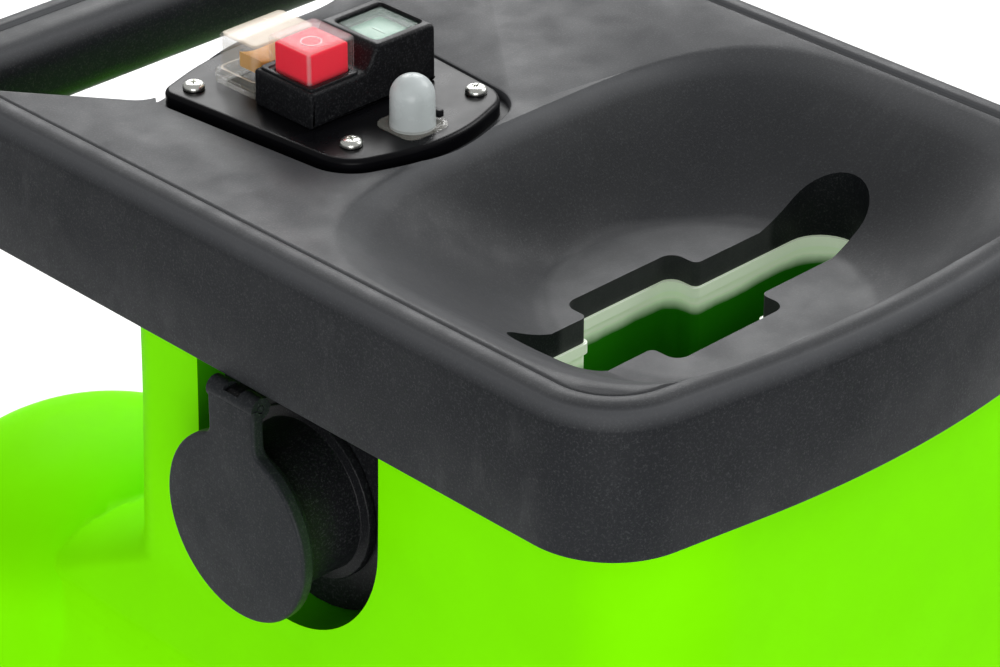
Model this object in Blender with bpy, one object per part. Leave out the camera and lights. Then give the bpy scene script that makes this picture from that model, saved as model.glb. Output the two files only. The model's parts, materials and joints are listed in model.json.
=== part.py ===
"""Electric garden shredder: black moulded top cover with a feed dish, green hopper body,
control panel, power inlet with a flap cap, cutter, motor, tube frame and wheels.

Metres, +Z up, -Y is the front (feeding and discharge side), the handle bar is at the rear.
The origin is on the ground, under the middle of the machine.
"""
from math import cos, pi, radians, sin, tan

import bmesh
import bpy
from mathutils import Matrix, Vector

# ---------------------------------------------------------------- driving dimensions
TOP_Z = 0.960              # flat top of the cover above the ground
DISH_Y = -0.095            # centre of the feed dish
GAP = 0.0003               # clearance between pieces that touch
RUN = 0.0005               # clearance of pieces that move in one another

COVER_HALF = 0.153         # top cover, half its width
COVER_CORNER_Y = -0.0925   # front corners, from the dish centre
COVER_FRONT_Y = -0.118     # apex of the bowed front
COVER_REAR_Y = 0.331       # rear face of the handle bar
SKIRT_H = 0.062            # height of the skirt
COVER_WALL = 0.0045
BEAD_H = 0.0012            # raised bead around the top
HANDLE_DEPTH = 0.035       # handle bar, front to rear
HANDLE_H = 0.035           # handle bar, top to bottom

DISH_HALF_X = 0.137
DISH_HALF_Y = 0.1015
DISH_SHIFT_Y = 0.0035      # the dish's rim is centred a little behind its floor
DISH_DEPTH = 0.045
DISH_FLOOR_R = 0.065
SLOT_MID_X = 0.0015        # middle of the feed slot
SLOT_MID_Y = 0.008
SLOT_HALF_L = 0.0955
SLOT_HALF_W = 0.0175
SLOT_BLOCK_X = -0.0105     # the slot's square block, from the slot's middle
SLOT_BLOCK_HALF = 0.031
SLOT_RIM_DEPTH = 0.011     # wall around the slot, below the dish floor
CHUTE_WALL = 0.003

PANEL_X = -0.038           # middle of the control panel
PANEL_FRONT_HALF = 0.045
PANEL_REAR_HALF = 0.054
PANEL_FRONT_Y = 0.102
PANEL_REAR_Y = 0.238
PANEL_T = 0.0067
PANEL_SINK = 0.004         # depth of the panel's recess in the cover
PANEL_GAP = 0.0040         # groove around the panel

DECK_T = 0.0045            # deck of the green body below the dish
BODY_WALL = 0.0045
BODY_BOTTOM_Z = 0.480      # parting plane between the hopper and the cutter housing
COLUMN_HALF = 0.128
COLUMN_REAR_Y = 0.206
BODY_HALF = 0.178
BODY_FRONT_Y = -0.130
BODY_REAR_Y = 0.385
SHOULDER_DROP = 0.196      # crowns of the two rear domes, below the top
SHOULDER_X = 0.078
SHOULDER_Y = 0.294
SHOULDER_R = 0.083
SHOULDER_H = 0.050         # height over which each dome rounds down to its upright side

INLET_Y = 0.1045           # power inlet, from the dish centre
INLET_DROP = 0.127         # and below the top
RECESS_HALF = 0.054
RECESS_TOP_DROP = 0.064
RECESS_DROP = 0.1805
RECESS_DEPTH = 0.0175
CAP_R = 0.041
CAP_T = 0.006
CAP_X = -0.157             # outer face of the flap cap
SEAL_T = 0.003             # sealing ring on the back of the cap
SEAL_H = 0.0035
STRAP_W = 0.027
HINGE_R = 0.0048           # barrel of the cap's hinge
LUG_W = 0.008              # fixed lug in the middle of the barrel
LUG_R = 0.0032
SOCKET_R = 0.033

CUTTER_H = 0.080           # cutter housing
CHAMBER_R = 0.160
CUTTER_Y = 0.110           # rotor axis, from the dish centre
DISC_R = 0.150
DISC_T = 0.008
KNIFE_X = 0.095            # middle of each knife, from the rotor axis
KNIFE_T = 0.005
SHAFT_R = 0.008
MOTOR_R = 0.070
MOTOR_TOP_Z = 0.396
MOTOR_BOTTOM_Z = 0.215
COVER_CUP_R = 0.098
COVER_CUP_BOTTOM_Z = 0.180

CHUTE_FRONT_Y = -0.215
CHUTE_BOTTOM_Z = 0.230
TUBE_R = 0.0125
FRAME_X = 0.166
FRAME_FRONT_Y = -0.100
RAIL_Z = 0.045
AXLE_R = 0.008
WHEEL_R = 0.100
WHEEL_W = 0.036
AXLE_Y = 0.305

ARC = 5                    # segments in each rounded corner

# heights worked out from the sizes above
FLOOR_Z = TOP_Z - DISH_DEPTH
DECK_Z = FLOOR_Z - SLOT_RIM_DEPTH - GAP
PANEL_TOP_Z = TOP_Z - PANEL_SINK + GAP + PANEL_T
INLET_Z = TOP_Z - INLET_DROP
AXIS_Y = DISH_Y + CUTTER_Y
HOUSING_TOP_Z = BODY_BOTTOM_Z - GAP
HOUSING_BOTTOM_Z = HOUSING_TOP_Z - CUTTER_H
HINGE_Y = DISH_Y + BODY_REAR_Y + 0.009


# ---------------------------------------------------------------- materials
def material(name, colour, roughness, metallic=0.0, alpha=1.0):
    made = bpy.data.materials.new(name)
    made.use_nodes = True
    shader = made.node_tree.nodes["Principled BSDF"]
    shader.inputs["Base Color"].default_value = (*colour, 1.0)
    shader.inputs["Roughness"].default_value = roughness
    shader.inputs["Metallic"].default_value = metallic
    shader.inputs["Alpha"].default_value = alpha
    return made


def make_materials():
    return {
        "cover": material("cover_black", (0.030, 0.032, 0.035), 0.55),
        "green": material("body_green", (0.190, 0.800, 0.005), 0.45),
        "panel": material("panel_black", (0.012, 0.012, 0.013), 0.30),
        "black": material("trim_black", (0.020, 0.020, 0.022), 0.50),
        "red": material("stop_red", (0.800, 0.015, 0.045), 0.35),
        "start": material("start_green", (0.080, 0.420, 0.240), 0.35),
        "amber": material("rocker_amber", (0.800, 0.380, 0.060), 0.35),
        "clear": material("clear_film", (0.850, 0.860, 0.850), 0.10, 0.0, 0.35),
        "silicone": material("boot_silicone", (0.520, 0.580, 0.600), 0.30, 0.0, 0.60),
        "zinc": material("zinc", (0.620, 0.640, 0.600), 0.35, 1.0),
        "steel": material("steel", (0.450, 0.460, 0.470), 0.30, 1.0),
        "brass": material("brass", (0.700, 0.500, 0.200), 0.30, 1.0),
        "cast": material("cast_alloy", (0.300, 0.310, 0.320), 0.50, 1.0),
        "rubber": material("rubber", (0.015, 0.015, 0.016), 0.80),
    }


# ---------------------------------------------------------------- outlines
def rounded(corners, steps=ARC):
    """Closed outline through corners (x, y, radius), each rounded by an arc."""
    points = []
    for i, (x, y, radius) in enumerate(corners):
        here = Vector((x, y))
        before = (Vector(corners[i - 1][:2]) - here).normalized()
        after = (Vector(corners[(i + 1) % len(corners)][:2]) - here).normalized()
        if radius <= 0:
            points.append(here)
            continue
        half = before.angle(after) / 2
        centre = here + (before + after).normalized() * (radius / sin(half))
        start = here + before * (radius / tan(half)) - centre
        turn = start.angle_signed(here + after * (radius / tan(half)) - centre)
        for k in range(steps + 1):
            points.append(centre + Matrix.Rotation(-turn * k / steps, 2) @ start)
    return points


def rectangle(x0, x1, y0, y1, radius=0.0, steps=ARC):
    return rounded([(x0, y0, radius), (x1, y0, radius), (x1, y1, radius), (x0, y1, radius)], steps)


def circle(x, y, radius, steps):
    return [Vector((x + radius * cos(2 * pi * k / steps), y + radius * sin(2 * pi * k / steps)))
            for k in range(steps)]


def inset(points, distance):
    """The outline moved in by distance (out if negative); it runs counter-clockwise."""
    moved = []
    for i, here in enumerate(points):
        before = (here - points[i - 1]).normalized()
        after = (points[(i + 1) % len(points)] - here).normalized()
        normal = Vector((-before.y - after.y, before.x + after.x)).normalized()
        reach = distance / max(0.3, normal.dot(Vector((-after.y, after.x))))
        moved.append(here + normal * reach)
    return moved


def shifted(points, dx, dy):
    return [p + Vector((dx, dy)) for p in points]


def level(points, z):
    return [Vector((p.x, p.y, z)) for p in points]


# ---------------------------------------------------------------- solids
def solid(name, verts, faces, colour, origin=(0, 0, 0), smooth=35):
    """One closed mesh given in world coordinates, with its origin where it is asked for."""
    origin = Vector(origin)
    mesh = bpy.data.meshes.new(name)
    mesh.from_pydata([Vector(v) - origin for v in verts], [], faces)
    tool = bmesh.new()
    tool.from_mesh(mesh)
    bmesh.ops.recalc_face_normals(tool, faces=tool.faces)
    tool.to_mesh(mesh)
    tool.free()
    mesh.shade_smooth()
    mesh.set_sharp_from_angle(angle=radians(smooth))
    made = bpy.data.objects.new(name, mesh)
    made.location = origin
    bpy.context.collection.objects.link(made)
    if colour:
        mesh.materials.append(colour)
    else:
        made.hide_render = True
        made.display_type = "WIRE"
    return made


def loft(name, rings, colour=None, origin=(0, 0, 0), closed=False, smooth=35):
    """Rings of equal length, bridged in turn; the ends are capped, or joined if closed."""
    count = len(rings[0])
    verts = [v for ring in rings for v in ring]
    faces = []
    for r in range(len(rings) if closed else len(rings) - 1):
        low, high = r * count, ((r + 1) % len(rings)) * count
        for k in range(count):
            nxt = (k + 1) % count
            faces.append((low + k, low + nxt, high + nxt, high + k))
    if not closed:
        faces.append(tuple(reversed(range(count))))
        faces.append(tuple(range(len(verts) - count, len(verts))))
    return solid(name, verts, faces, colour, origin, smooth)


def prism(name, outline, z0, z1, colour=None, origin=(0, 0, 0), edge=0.0):
    """Upright prism, with its top edge chamfered by edge."""
    rings = [level(outline, z0), level(outline, z1 - edge)]
    if edge:
        rings.append(level(inset(outline, edge), z1))
    return loft(name, rings, colour, origin)


def sideways(name, outline, x0, x1, colour=None, origin=(0, 0, 0)):
    """Prism along X; the outline gives Y and Z."""
    rings = [[Vector((x, p.x, p.y)) for p in outline] for x in (x0, x1)]
    return loft(name, rings, colour, origin)


def block(name, x0, x1, y0, y1, z0, z1, colour=None, origin=(0, 0, 0)):
    return prism(name, rectangle(x0, x1, y0, y1), z0, z1, colour, origin)


def turned(name, profile, centre, axis="Z", steps=24, colour=None, closed=False, origin=None):
    """Solid of revolution; profile is (radius, height) along axis from centre."""
    turn = {"Z": Matrix.Identity(3), "X": Matrix.Rotation(pi / 2, 3, "Y"),
            "Y": Matrix.Rotation(-pi / 2, 3, "X")}[axis]
    centre = Vector(centre)
    rings = []
    for radius, height in profile:
        ring = [Vector((p.x, p.y, height)) for p in circle(0, 0, radius, steps)]
        rings.append([centre + turn @ v for v in ring])
    return loft(name, rings, colour, origin or centre, closed)


def rod(name, radius, start, end, centre, axis, colour=None, steps=16):
    return turned(name, [(radius, start), (radius, end)], centre, axis, steps, colour)


def boolean(target, operation, *tools):
    for tool in tools:
        change = target.modifiers.new(operation.lower(), "BOOLEAN")
        change.operation = operation
        change.object = tool
        change.solver = "EXACT"
    return target


def cut(target, *tools):
    return boolean(target, "DIFFERENCE", *tools)


def add(target, *tools):
    return boolean(target, "UNION", *tools)


# ---------------------------------------------------------------- shared shapes
def cover_outline():
    front = [(-COVER_HALF, DISH_Y + COVER_CORNER_Y, 0.040), (0.0, DISH_Y + COVER_FRONT_Y, 0.490),
             (COVER_HALF, DISH_Y + COVER_CORNER_Y, 0.040)]
    rear_y = DISH_Y + COVER_REAR_Y
    return rounded(front + [(COVER_HALF, rear_y, 0.030), (-COVER_HALF, rear_y, 0.030)], 8)


def dish_rings(grow, drop, top_z, steps=48):
    """The feed dish: a round floor that opens into a rounded rectangle at the rim."""
    profile = [(0.0, 0.0), (0.10, 0.035), (0.35, 0.34), (0.62, 0.68), (0.84, 0.91), (1.0, 1.0)]
    rings = []
    for along, rise in profile:
        ring = []
        for k in range(steps):
            c, s = cos(2 * pi * k / steps), sin(2 * pi * k / steps)
            rim_x = (DISH_HALF_X + grow) * abs(c) ** 0.5 * (1 if c >= 0 else -1)
            rim_y = (DISH_HALF_Y + grow) * abs(s) ** 0.5 * (1 if s >= 0 else -1) + DISH_SHIFT_Y
            floor_r = DISH_FLOOR_R + grow
            x = floor_r * c + (rim_x - floor_r * c) * along
            y = floor_r * s + (rim_y - floor_r * s) * along
            ring.append(Vector((x, DISH_Y + y, FLOOR_Z - drop + (DISH_DEPTH + drop) * rise)))
        rings.append(ring)
    rings.append([Vector((v.x, v.y, top_z)) for v in rings[-1]])
    return rings


def slot_outline(grow=0.0):
    """Cross-shaped feed slot: a long slot with round ends and a square block near its middle."""
    x, y = SLOT_MID_X, DISH_Y + SLOT_MID_Y
    long_x, long_y = SLOT_HALF_L + grow, SLOT_HALF_W + grow
    block_x0, block_x1 = SLOT_BLOCK_X - SLOT_BLOCK_HALF - grow, SLOT_BLOCK_X + SLOT_BLOCK_HALF + grow
    block_y = SLOT_BLOCK_HALF + grow
    end_r = long_y * 0.98
    corners = []
    for side, near, far in ((1, block_x0, block_x1), (-1, -block_x1, -block_x0)):
        half = [(long_x, -long_y, end_r), (long_x, long_y, end_r), (far, long_y, 0.003),
                (far, block_y, 0.006), (near, block_y, 0.006), (near, long_y, 0.003)]
        corners += [(side * px, side * py, radius) for px, py, radius in half]
    return shifted(rounded(corners, 5), x, y)


def panel_outline(grow=0.0):
    front_y, rear_y = DISH_Y + PANEL_FRONT_Y, DISH_Y + PANEL_REAR_Y
    side_y = front_y + 0.016
    back_y = rear_y - 0.018
    corners = [(PANEL_X - PANEL_FRONT_HALF, side_y, 0.018), (PANEL_X, front_y, 0.075),
               (PANEL_X + PANEL_FRONT_HALF, side_y, 0.018),
               (PANEL_X + PANEL_REAR_HALF, back_y, 0.008), (PANEL_X, rear_y, 0.120),
               (PANEL_X - PANEL_REAR_HALF, back_y, 0.008)]
    return inset(rounded(corners), -grow)


def body_outline(half, front, rear, front_r, rear_r):
    front_y, rear_y = DISH_Y + front, DISH_Y + rear
    return rounded([(-half, front_y, front_r), (half, front_y, front_r),
                    (half, rear_y, rear_r), (-half, rear_y, rear_r)])


def body_sections():
    """(drop below the top, half width, front, rear, front radius, rear radius), from the deck down."""
    spread = BODY_HALF - COLUMN_HALF
    rear_step = BODY_REAR_Y - COLUMN_REAR_Y
    front = COVER_FRONT_Y + 0.020
    lean = BODY_FRONT_Y - front
    crown, low = SHOULDER_DROP - 0.004, TOP_Z - BODY_BOTTOM_Z
    rows = [(TOP_Z - DECK_Z, 0.00, 0.00, 0.000, 0.045, 0.018),
            (crown - 0.070, 0.03, 0.03, 0.000, 0.045, 0.018),
            (crown - 0.026, 0.08, 0.08, 0.005, 0.046, 0.020),
            (crown - 0.004, 0.11, 0.11, 0.020, 0.047, 0.024)]
    slope = 0.110
    for deep in (0.0, 0.10, 0.20, 0.32, 0.48, 0.70, 1.0):
        rows.append((crown + slope * deep, 0.12 + 0.30 * deep, 0.12 + 0.20 * deep,
                     0.06 + 0.92 * sin(pi / 2 * deep), 0.047 + 0.004 * deep, 0.030 + 0.045 * deep))
    rest = low - crown - slope
    rows += [(crown + slope + rest * 0.28, 0.70, 0.55, 0.990, 0.056, 0.078),
             (crown + slope + rest * 0.60, 0.90, 0.78, 1.000, 0.059, 0.078),
             (crown + slope + rest * 0.85, 1.00, 0.95, 1.000, 0.060, 0.075),
             (low, 1.00, 1.00, 1.000, 0.060, 0.075)]
    return [(down, COLUMN_HALF + spread * wide, front + lean * ahead,
             COLUMN_REAR_Y + rear_step * back, front_r, rear_r)
            for down, wide, ahead, back, front_r, rear_r in rows]


def shoulder_domes(shrink=0.0):
    """The two rear domes of the body, or their inner faces, as shapes to add."""
    low, crown = BODY_BOTTOM_Z + 0.030, TOP_Z - SHOULDER_DROP - shrink
    radius = SHOULDER_R - shrink
    profile = [(radius, low)]
    for k in range(7):
        turn = pi / 2 * k / 6
        profile.append((max(0.002, radius * cos(turn)), crown - SHOULDER_H * (1 - sin(turn))))
    places = [(side * SHOULDER_X, DISH_Y + SHOULDER_Y, 0) for side in (-1, 1)]
    return [turned(f"dome_tool_{i}", profile, place, "Z", 32) for i, place in enumerate(places)]


def body_ring(section, shrink=0.0):
    """One level ring of the body's outer face, or of the face that lies shrink inside it."""
    return level(inset(body_outline(*section[1:]), shrink), TOP_Z - section[0] - shrink)


def recess_outline(grow=0.0):
    """U-shaped recess of the power inlet, as Y and Z."""
    y0, y1 = DISH_Y + INLET_Y - RECESS_HALF - grow, DISH_Y + INLET_Y + RECESS_HALF + grow
    top, bottom = TOP_Z - RECESS_TOP_DROP + grow, TOP_Z - RECESS_DROP - grow
    radius = (RECESS_HALF + grow) * 0.98
    return rounded([(y0, bottom, radius), (y1, bottom, radius), (y1, top, 0), (y0, top, 0)], 10)


# ---------------------------------------------------------------- top cover
def make_top_cover(mats):
    outline = cover_outline()
    skirt_z = TOP_Z - SKIRT_H
    steps = [(0.000, skirt_z), (0.0008, TOP_Z - 0.010), (0.0018, TOP_Z - 0.0045), (0.0040, TOP_Z - 0.0012),
             (0.0080, TOP_Z + BEAD_H), (0.0120, TOP_Z + BEAD_H), (0.0140, TOP_Z)]
    rings = [level(inset(outline, d), z) for d, z in steps]
    cover = loft("top_cover", rings, mats["cover"])

    room = inset(outline, COVER_WALL)
    back = DISH_Y + COLUMN_REAR_Y + 0.0035
    room = [Vector((p.x, min(p.y, back))) for p in room if p.y < back or p.x * p.x > 1e-4]
    cavity = prism("cover_cavity_tool", unique(room), skirt_z - 0.020, TOP_Z - COVER_WALL)
    boss = loft("dish_boss_tool", dish_rings(0.005, COVER_WALL, TOP_Z + 0.010))
    rim = prism("slot_rim_tool", slot_outline(0.004), FLOOR_Z - SLOT_RIM_DEPTH, TOP_Z - 0.020)
    seat = prism("panel_seat_tool", panel_outline(PANEL_GAP + 0.004), TOP_Z - 0.011, TOP_Z + 0.010)
    cut(cavity, boss, rim, seat)

    dish = loft("dish_tool", dish_rings(0.0, 0.0, TOP_Z + 0.020))
    slot = prism("cover_slot_tool", slot_outline(), FLOOR_Z - 0.030, TOP_Z + 0.015)
    recess = prism("panel_recess_tool", panel_outline(PANEL_GAP), TOP_Z - PANEL_SINK, TOP_Z + 0.020)
    window = prism("panel_window_tool", switch_window(), TOP_Z - 0.030, TOP_Z + 0.010)
    hand = prism("hand_hole_tool", hand_hole_outline(), skirt_z - 0.020, TOP_Z + 0.020)
    under = under_handle_tool()
    return cut(cover, cavity, dish, slot, recess, window, hand, under, *screw_tools("cover"))


def unique(points):
    kept = [p for i, p in enumerate(points) if (p - points[i - 1]).length > 1e-5]
    return kept


def switch_window():
    rear = DISH_Y + COLUMN_REAR_Y + 0.0035
    return rectangle(PANEL_X - 0.034, PANEL_X + 0.030, DISH_Y + PANEL_FRONT_Y + 0.010, rear, 0.004, 3)


def hand_hole_outline():
    """The hole follows the panel's convex rear edge and meets the handle bar behind it."""
    bar_y = DISH_Y + COVER_REAR_Y - HANDLE_DEPTH
    edge_y = DISH_Y + PANEL_REAR_Y + PANEL_GAP
    side = COVER_HALF - 0.017
    left = PANEL_X - PANEL_REAR_HALF - 0.003
    right = PANEL_X + PANEL_REAR_HALF
    front = [(-side, bar_y - 0.020, 0.008), (left, edge_y - 0.021, 0.012), (PANEL_X, edge_y, 0.100),
             (right, edge_y, 0.060), (side, bar_y - 0.020, 0.008)]
    return rounded(front + [(side, bar_y, 0.008), (-side, bar_y, 0.008)])


def under_handle_tool():
    bar_y = DISH_Y + COVER_REAR_Y - HANDLE_DEPTH
    side = COVER_HALF - 0.017
    low, high = TOP_Z - SKIRT_H - 0.020, TOP_Z - HANDLE_H
    return prism("under_handle_tool", rectangle(-side, side, bar_y - 0.010, bar_y + 0.080, 0.006), low, high)


# ---------------------------------------------------------------- control panel
def panel_screw_places():
    front_y, rear_y = DISH_Y + 0.128, DISH_Y + 0.211
    return [(PANEL_X - 0.0315, front_y), (PANEL_X + 0.037, front_y),
            (PANEL_X - 0.043, rear_y), (PANEL_X + 0.043, rear_y)]


def screw_tools(prefix):
    return [rod(f"{prefix}_screw_tool_{i}", 0.0024, -0.020, 0.002, (x, y, PANEL_TOP_Z), "Z", None, 10)
            for i, (x, y) in enumerate(panel_screw_places(), 1)]


def make_panel(mats):
    low, high = PANEL_TOP_Z - PANEL_T, PANEL_TOP_Z
    panel = prism("control_panel", panel_outline(), low, high, mats["panel"], edge=0.0015)
    outlines = {"rocker": rocker_rectangle(-0.004), "stop": key_rectangle("stop", -0.006),
                "start": key_rectangle("start", -0.006)}
    holes = [prism(f"{name}_hole_tool", outline, low - 0.010, high + 0.010) for name, outline in outlines.items()]
    boot_hole = rod("boot_hole_tool", 0.0060, -0.020, 0.010, (*boot_place(), high), "Z")
    cut(panel, boot_hole, *holes, *screw_tools("panel"))
    for i, (x, y) in enumerate(panel_screw_places(), 1):
        profile = [(0.0021, -0.0085), (0.0021, GAP), (0.0046, GAP), (0.0046, 0.0013), (0.0038, 0.0022),
                   (0.0020, 0.0028)]
        turned(f"panel_screw_{i}", profile, (x, y, PANEL_TOP_Z), "Z", 16, mats["zinc"])


def boot_place():
    return PANEL_X - 0.002, DISH_Y + 0.124


def key_rectangle(which, grow=0.0):
    """Plan of the stop or the start button."""
    x, y = key_place(which)
    half = 0.0108 + grow
    return rectangle(x - half, x + half, y - half, y + half, 0.0015 + max(grow, 0), 3)


def key_place(which):
    return PANEL_X + (-0.0185 if which == "stop" else 0.0180), DISH_Y + 0.1655


def make_switch(mats):
    """No-volt switch: housing with a raised shroud, two keys under clear covers, and its block."""
    z = PANEL_TOP_Z + GAP
    low, high = z + 0.0155, z + 0.0255
    x0, x1 = PANEL_X - 0.0345, PANEL_X + 0.0335
    y0, y1 = DISH_Y + 0.148, DISH_Y + 0.183
    step = PANEL_X - 0.0055
    profile = [(x0, z), (x1, z), (x1, high - 0.002), (x1 - 0.002, high), (step + 0.009, high),
               (step, low), (x0 + 0.0015, low), (x0, low - 0.0015)]
    rings = [[Vector((x, y, h)) for x, h in profile] for y in (y0, y1)]
    housing = loft("switch_housing", rings, mats["black"])
    well = 0.0020
    cut(housing, prism("stop_well_tool", key_rectangle("stop", RUN), z - 0.010, high + 0.010),
        prism("start_well_tool", key_rectangle("start", RUN), z - 0.010, high + 0.010),
        prism("start_rim_tool", key_rectangle("start", well), high - 0.0040, high + 0.010))

    tops = {"stop": low + 0.0125, "start": high - 0.0045}
    for which, colour in (("stop", "red"), ("start", "start")):
        prism(f"{which}_button", key_rectangle(which), z + 0.0045, tops[which], mats[colour],
              (*key_place(which), z), 0.001)
    films = {"stop": (low + GAP, tops["stop"] + 0.0030, 0.0018),
             "start": (high - 0.0040 + GAP, high - 0.0010, well - RUN)}
    for which, (z0, z1, grow) in films.items():
        film = prism(f"{which}_cover", key_rectangle(which, grow), z0, z1, mats["clear"], edge=0.001)
        cut(film, prism(f"{which}_film_tool", key_rectangle(which, grow - 0.0009), z0 - 0.010, z1 - 0.0010))
    block("switch_block", x0 + 0.004, x1 - 0.006, y0 + 0.001, y1 - 0.001, TOP_Z - 0.042,
          PANEL_TOP_Z - PANEL_T - GAP, mats["black"])


def rocker_rectangle(grow=0.0):
    return rectangle(PANEL_X - 0.0330 - grow, PANEL_X + 0.0050 + grow, DISH_Y + 0.1840 - grow,
                     DISH_Y + 0.2110 + grow, 0.002, 3)


def make_rocker(mats):
    """Direction rocker: clear frame, amber rocker, splash cap, and the switch body below."""
    z = PANEL_TOP_Z + GAP
    frame = prism("rocker_frame", rocker_rectangle(), z, z + 0.006, mats["clear"], edge=0.001)
    cut(frame, prism("rocker_frame_tool", rocker_rectangle(-0.0035), z - 0.01, z + 0.02))
    x, y = PANEL_X - 0.014, DISH_Y + 0.1975
    pivot = (x, y, z + 0.008)
    half, wide = 0.010, 0.0070
    profile = [(-half, -0.002), (half, -0.002), (half, 0.0045), (0.0, 0.0025), (-half, 0.0045)]
    rings = [[Vector((x + px, y + side * wide, pivot[2] + pz)) for px, pz in profile] for side in (-1, 1)]
    loft("direction_rocker", rings, mats["amber"], pivot)
    cap_low, cap_high = z + 0.006 + GAP, z + 0.022
    cap = prism("rocker_cap", rocker_rectangle(-0.0015), cap_low, cap_high, mats["clear"], edge=0.002)
    cut(cap, prism("rocker_cap_tool", rocker_rectangle(-0.0027), z - 0.01, z + 0.0208))
    half_x, half_y = 0.010, 0.0065
    block("rocker_switch", x - half_x, x + half_x, y - half_y, y + half_y,
          TOP_Z - 0.030, z + 0.0015, mats["black"])


def make_reset(mats):
    """Overload reset button under its silicone boot, with the breaker below the panel."""
    x, y = boot_place()
    z = PANEL_TOP_Z + GAP
    outer = [(0.0120, 0.0), (0.0120, 0.0012), (0.0094, 0.0020), (0.0090, 0.0130), (0.0080, 0.0175),
             (0.0055, 0.0207), (0.0018, 0.0222)]
    room = [(0.0079, 0.0128), (0.0068, 0.0165), (0.0045, 0.0195), (0.0012, 0.0210)]
    boot = turned("reset_boot", outer, (x, y, z), "Z", 16, mats["silicone"])
    mouth = rod("boot_mouth_tool", 0.0080, -0.002, 0.0129, (x, y, z), "Z", None, 16)
    cut(boot, turned("boot_room_tool", room, (x, y, z), "Z", 16), mouth)
    turned("reset_button", [(0.0032, -0.0015), (0.0045, -0.0010), (0.0045, 0.0120), (0.0035, 0.0130)],
           (x, y, z), "Z", 16, mats["black"])
    low, high = TOP_Z - 0.034 - z, -PANEL_T - 2 * GAP
    rod("overload_breaker", 0.0110, low, high, (x, y, z), "Z", mats["black"], 20)


# ---------------------------------------------------------------- green hopper body
def make_hopper_body(mats):
    sections = body_sections()
    body = loft("hopper_body", [body_ring(s) for s in sections], mats["green"], smooth=50)
    foot = level(inset(body_outline(*sections[-1][1:]), BODY_WALL), BODY_BOTTOM_Z - 0.020)
    core = loft("body_core_tool", [body_ring(s, BODY_WALL) for s in sections[:-1]] + [foot])
    inner_x = -COLUMN_HALF + RECESS_DEPTH
    pocket_x = -COLUMN_HALF - 0.050
    pocket = sideways("recess_pocket_tool", recess_outline(BODY_WALL), pocket_x, inner_x + BODY_WALL)
    add(core, *shoulder_domes(BODY_WALL))
    cut(core, pocket)
    recess = sideways("recess_tool", recess_outline(), -COLUMN_HALF - 0.080, inner_x)
    slot = prism("deck_slot_tool", slot_outline(-0.0010), DECK_Z - 0.020, DECK_Z + 0.020)
    add(body, *shoulder_domes())
    cut(body, core, recess, slot)
    add_lug(body, BODY_BOTTOM_Z, BODY_BOTTOM_Z + 0.008)


def make_feed_chute(mats):
    """Inner feed chute: it keeps the slot's cross shape from the deck down to the cutter housing."""
    z0, z1 = BODY_BOTTOM_Z + 0.0005, DECK_Z - DECK_T - GAP
    inner, outer = slot_outline(), slot_outline(CHUTE_WALL)
    rings = [level(outer, z0), level(outer, z1), level(inner, z1), level(inner, z0)]
    loft("feed_chute", rings, mats["green"], closed=True)


# ---------------------------------------------------------------- power inlet
def make_inlet(mats):
    back = -COLUMN_HALF + RECESS_DEPTH
    y, z = DISH_Y + INLET_Y, INLET_Z
    plate_x = back - GAP
    hinge_x, hinge_z = CAP_X + HINGE_R, TOP_Z - RECESS_TOP_DROP - HINGE_R
    plate = sideways("inlet_plate", recess_outline(-0.001), plate_x - 0.004, plate_x, mats["black"])
    profile = rounded([(plate_x - 0.001, hinge_z - LUG_R, 0), (plate_x - 0.001, hinge_z + LUG_R, 0),
                       (hinge_x - LUG_R, hinge_z + LUG_R, LUG_R * 0.95),
                       (hinge_x - LUG_R, hinge_z - LUG_R, LUG_R * 0.95)], 4)
    rings = [[Vector((p.x, y + half, p.y)) for p in profile] for half in (-LUG_W / 2, LUG_W / 2)]
    add(plate, loft("cap_lug_tool", rings))
    cut(plate, rod("lug_pin_tool", 0.0015 + GAP, -0.030, 0.030, (hinge_x, y, hinge_z), "Y"))

    face = plate_x - 0.004 - GAP
    reach = face - CAP_X - CAP_T - RUN
    flange_r, flange_t, room_r = 0.038, 0.004, SOCKET_R - 0.004
    profile = [(flange_r, 0.0), (flange_r, -flange_t), (SOCKET_R, -flange_t), (SOCKET_R, -reach),
               (room_r, -reach), (room_r, -flange_t - 0.002)]
    turned("inlet_socket", profile, (face, y, z), "X", 32, mats["black"])
    for i, angle in enumerate((90, 210, 330), 1):
        place = (face - 0.006 - GAP, y + 0.012 * cos(radians(angle)), z + 0.012 * sin(radians(angle)))
        pin = [(0.0024, 0.0), (0.0024, -0.018), (0.0014, -0.020)]
        turned(f"inlet_pin_{i}", pin, place, "X", 10, mats["brass"])
    make_cap(mats, y, z, hinge_x, hinge_z)


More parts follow.
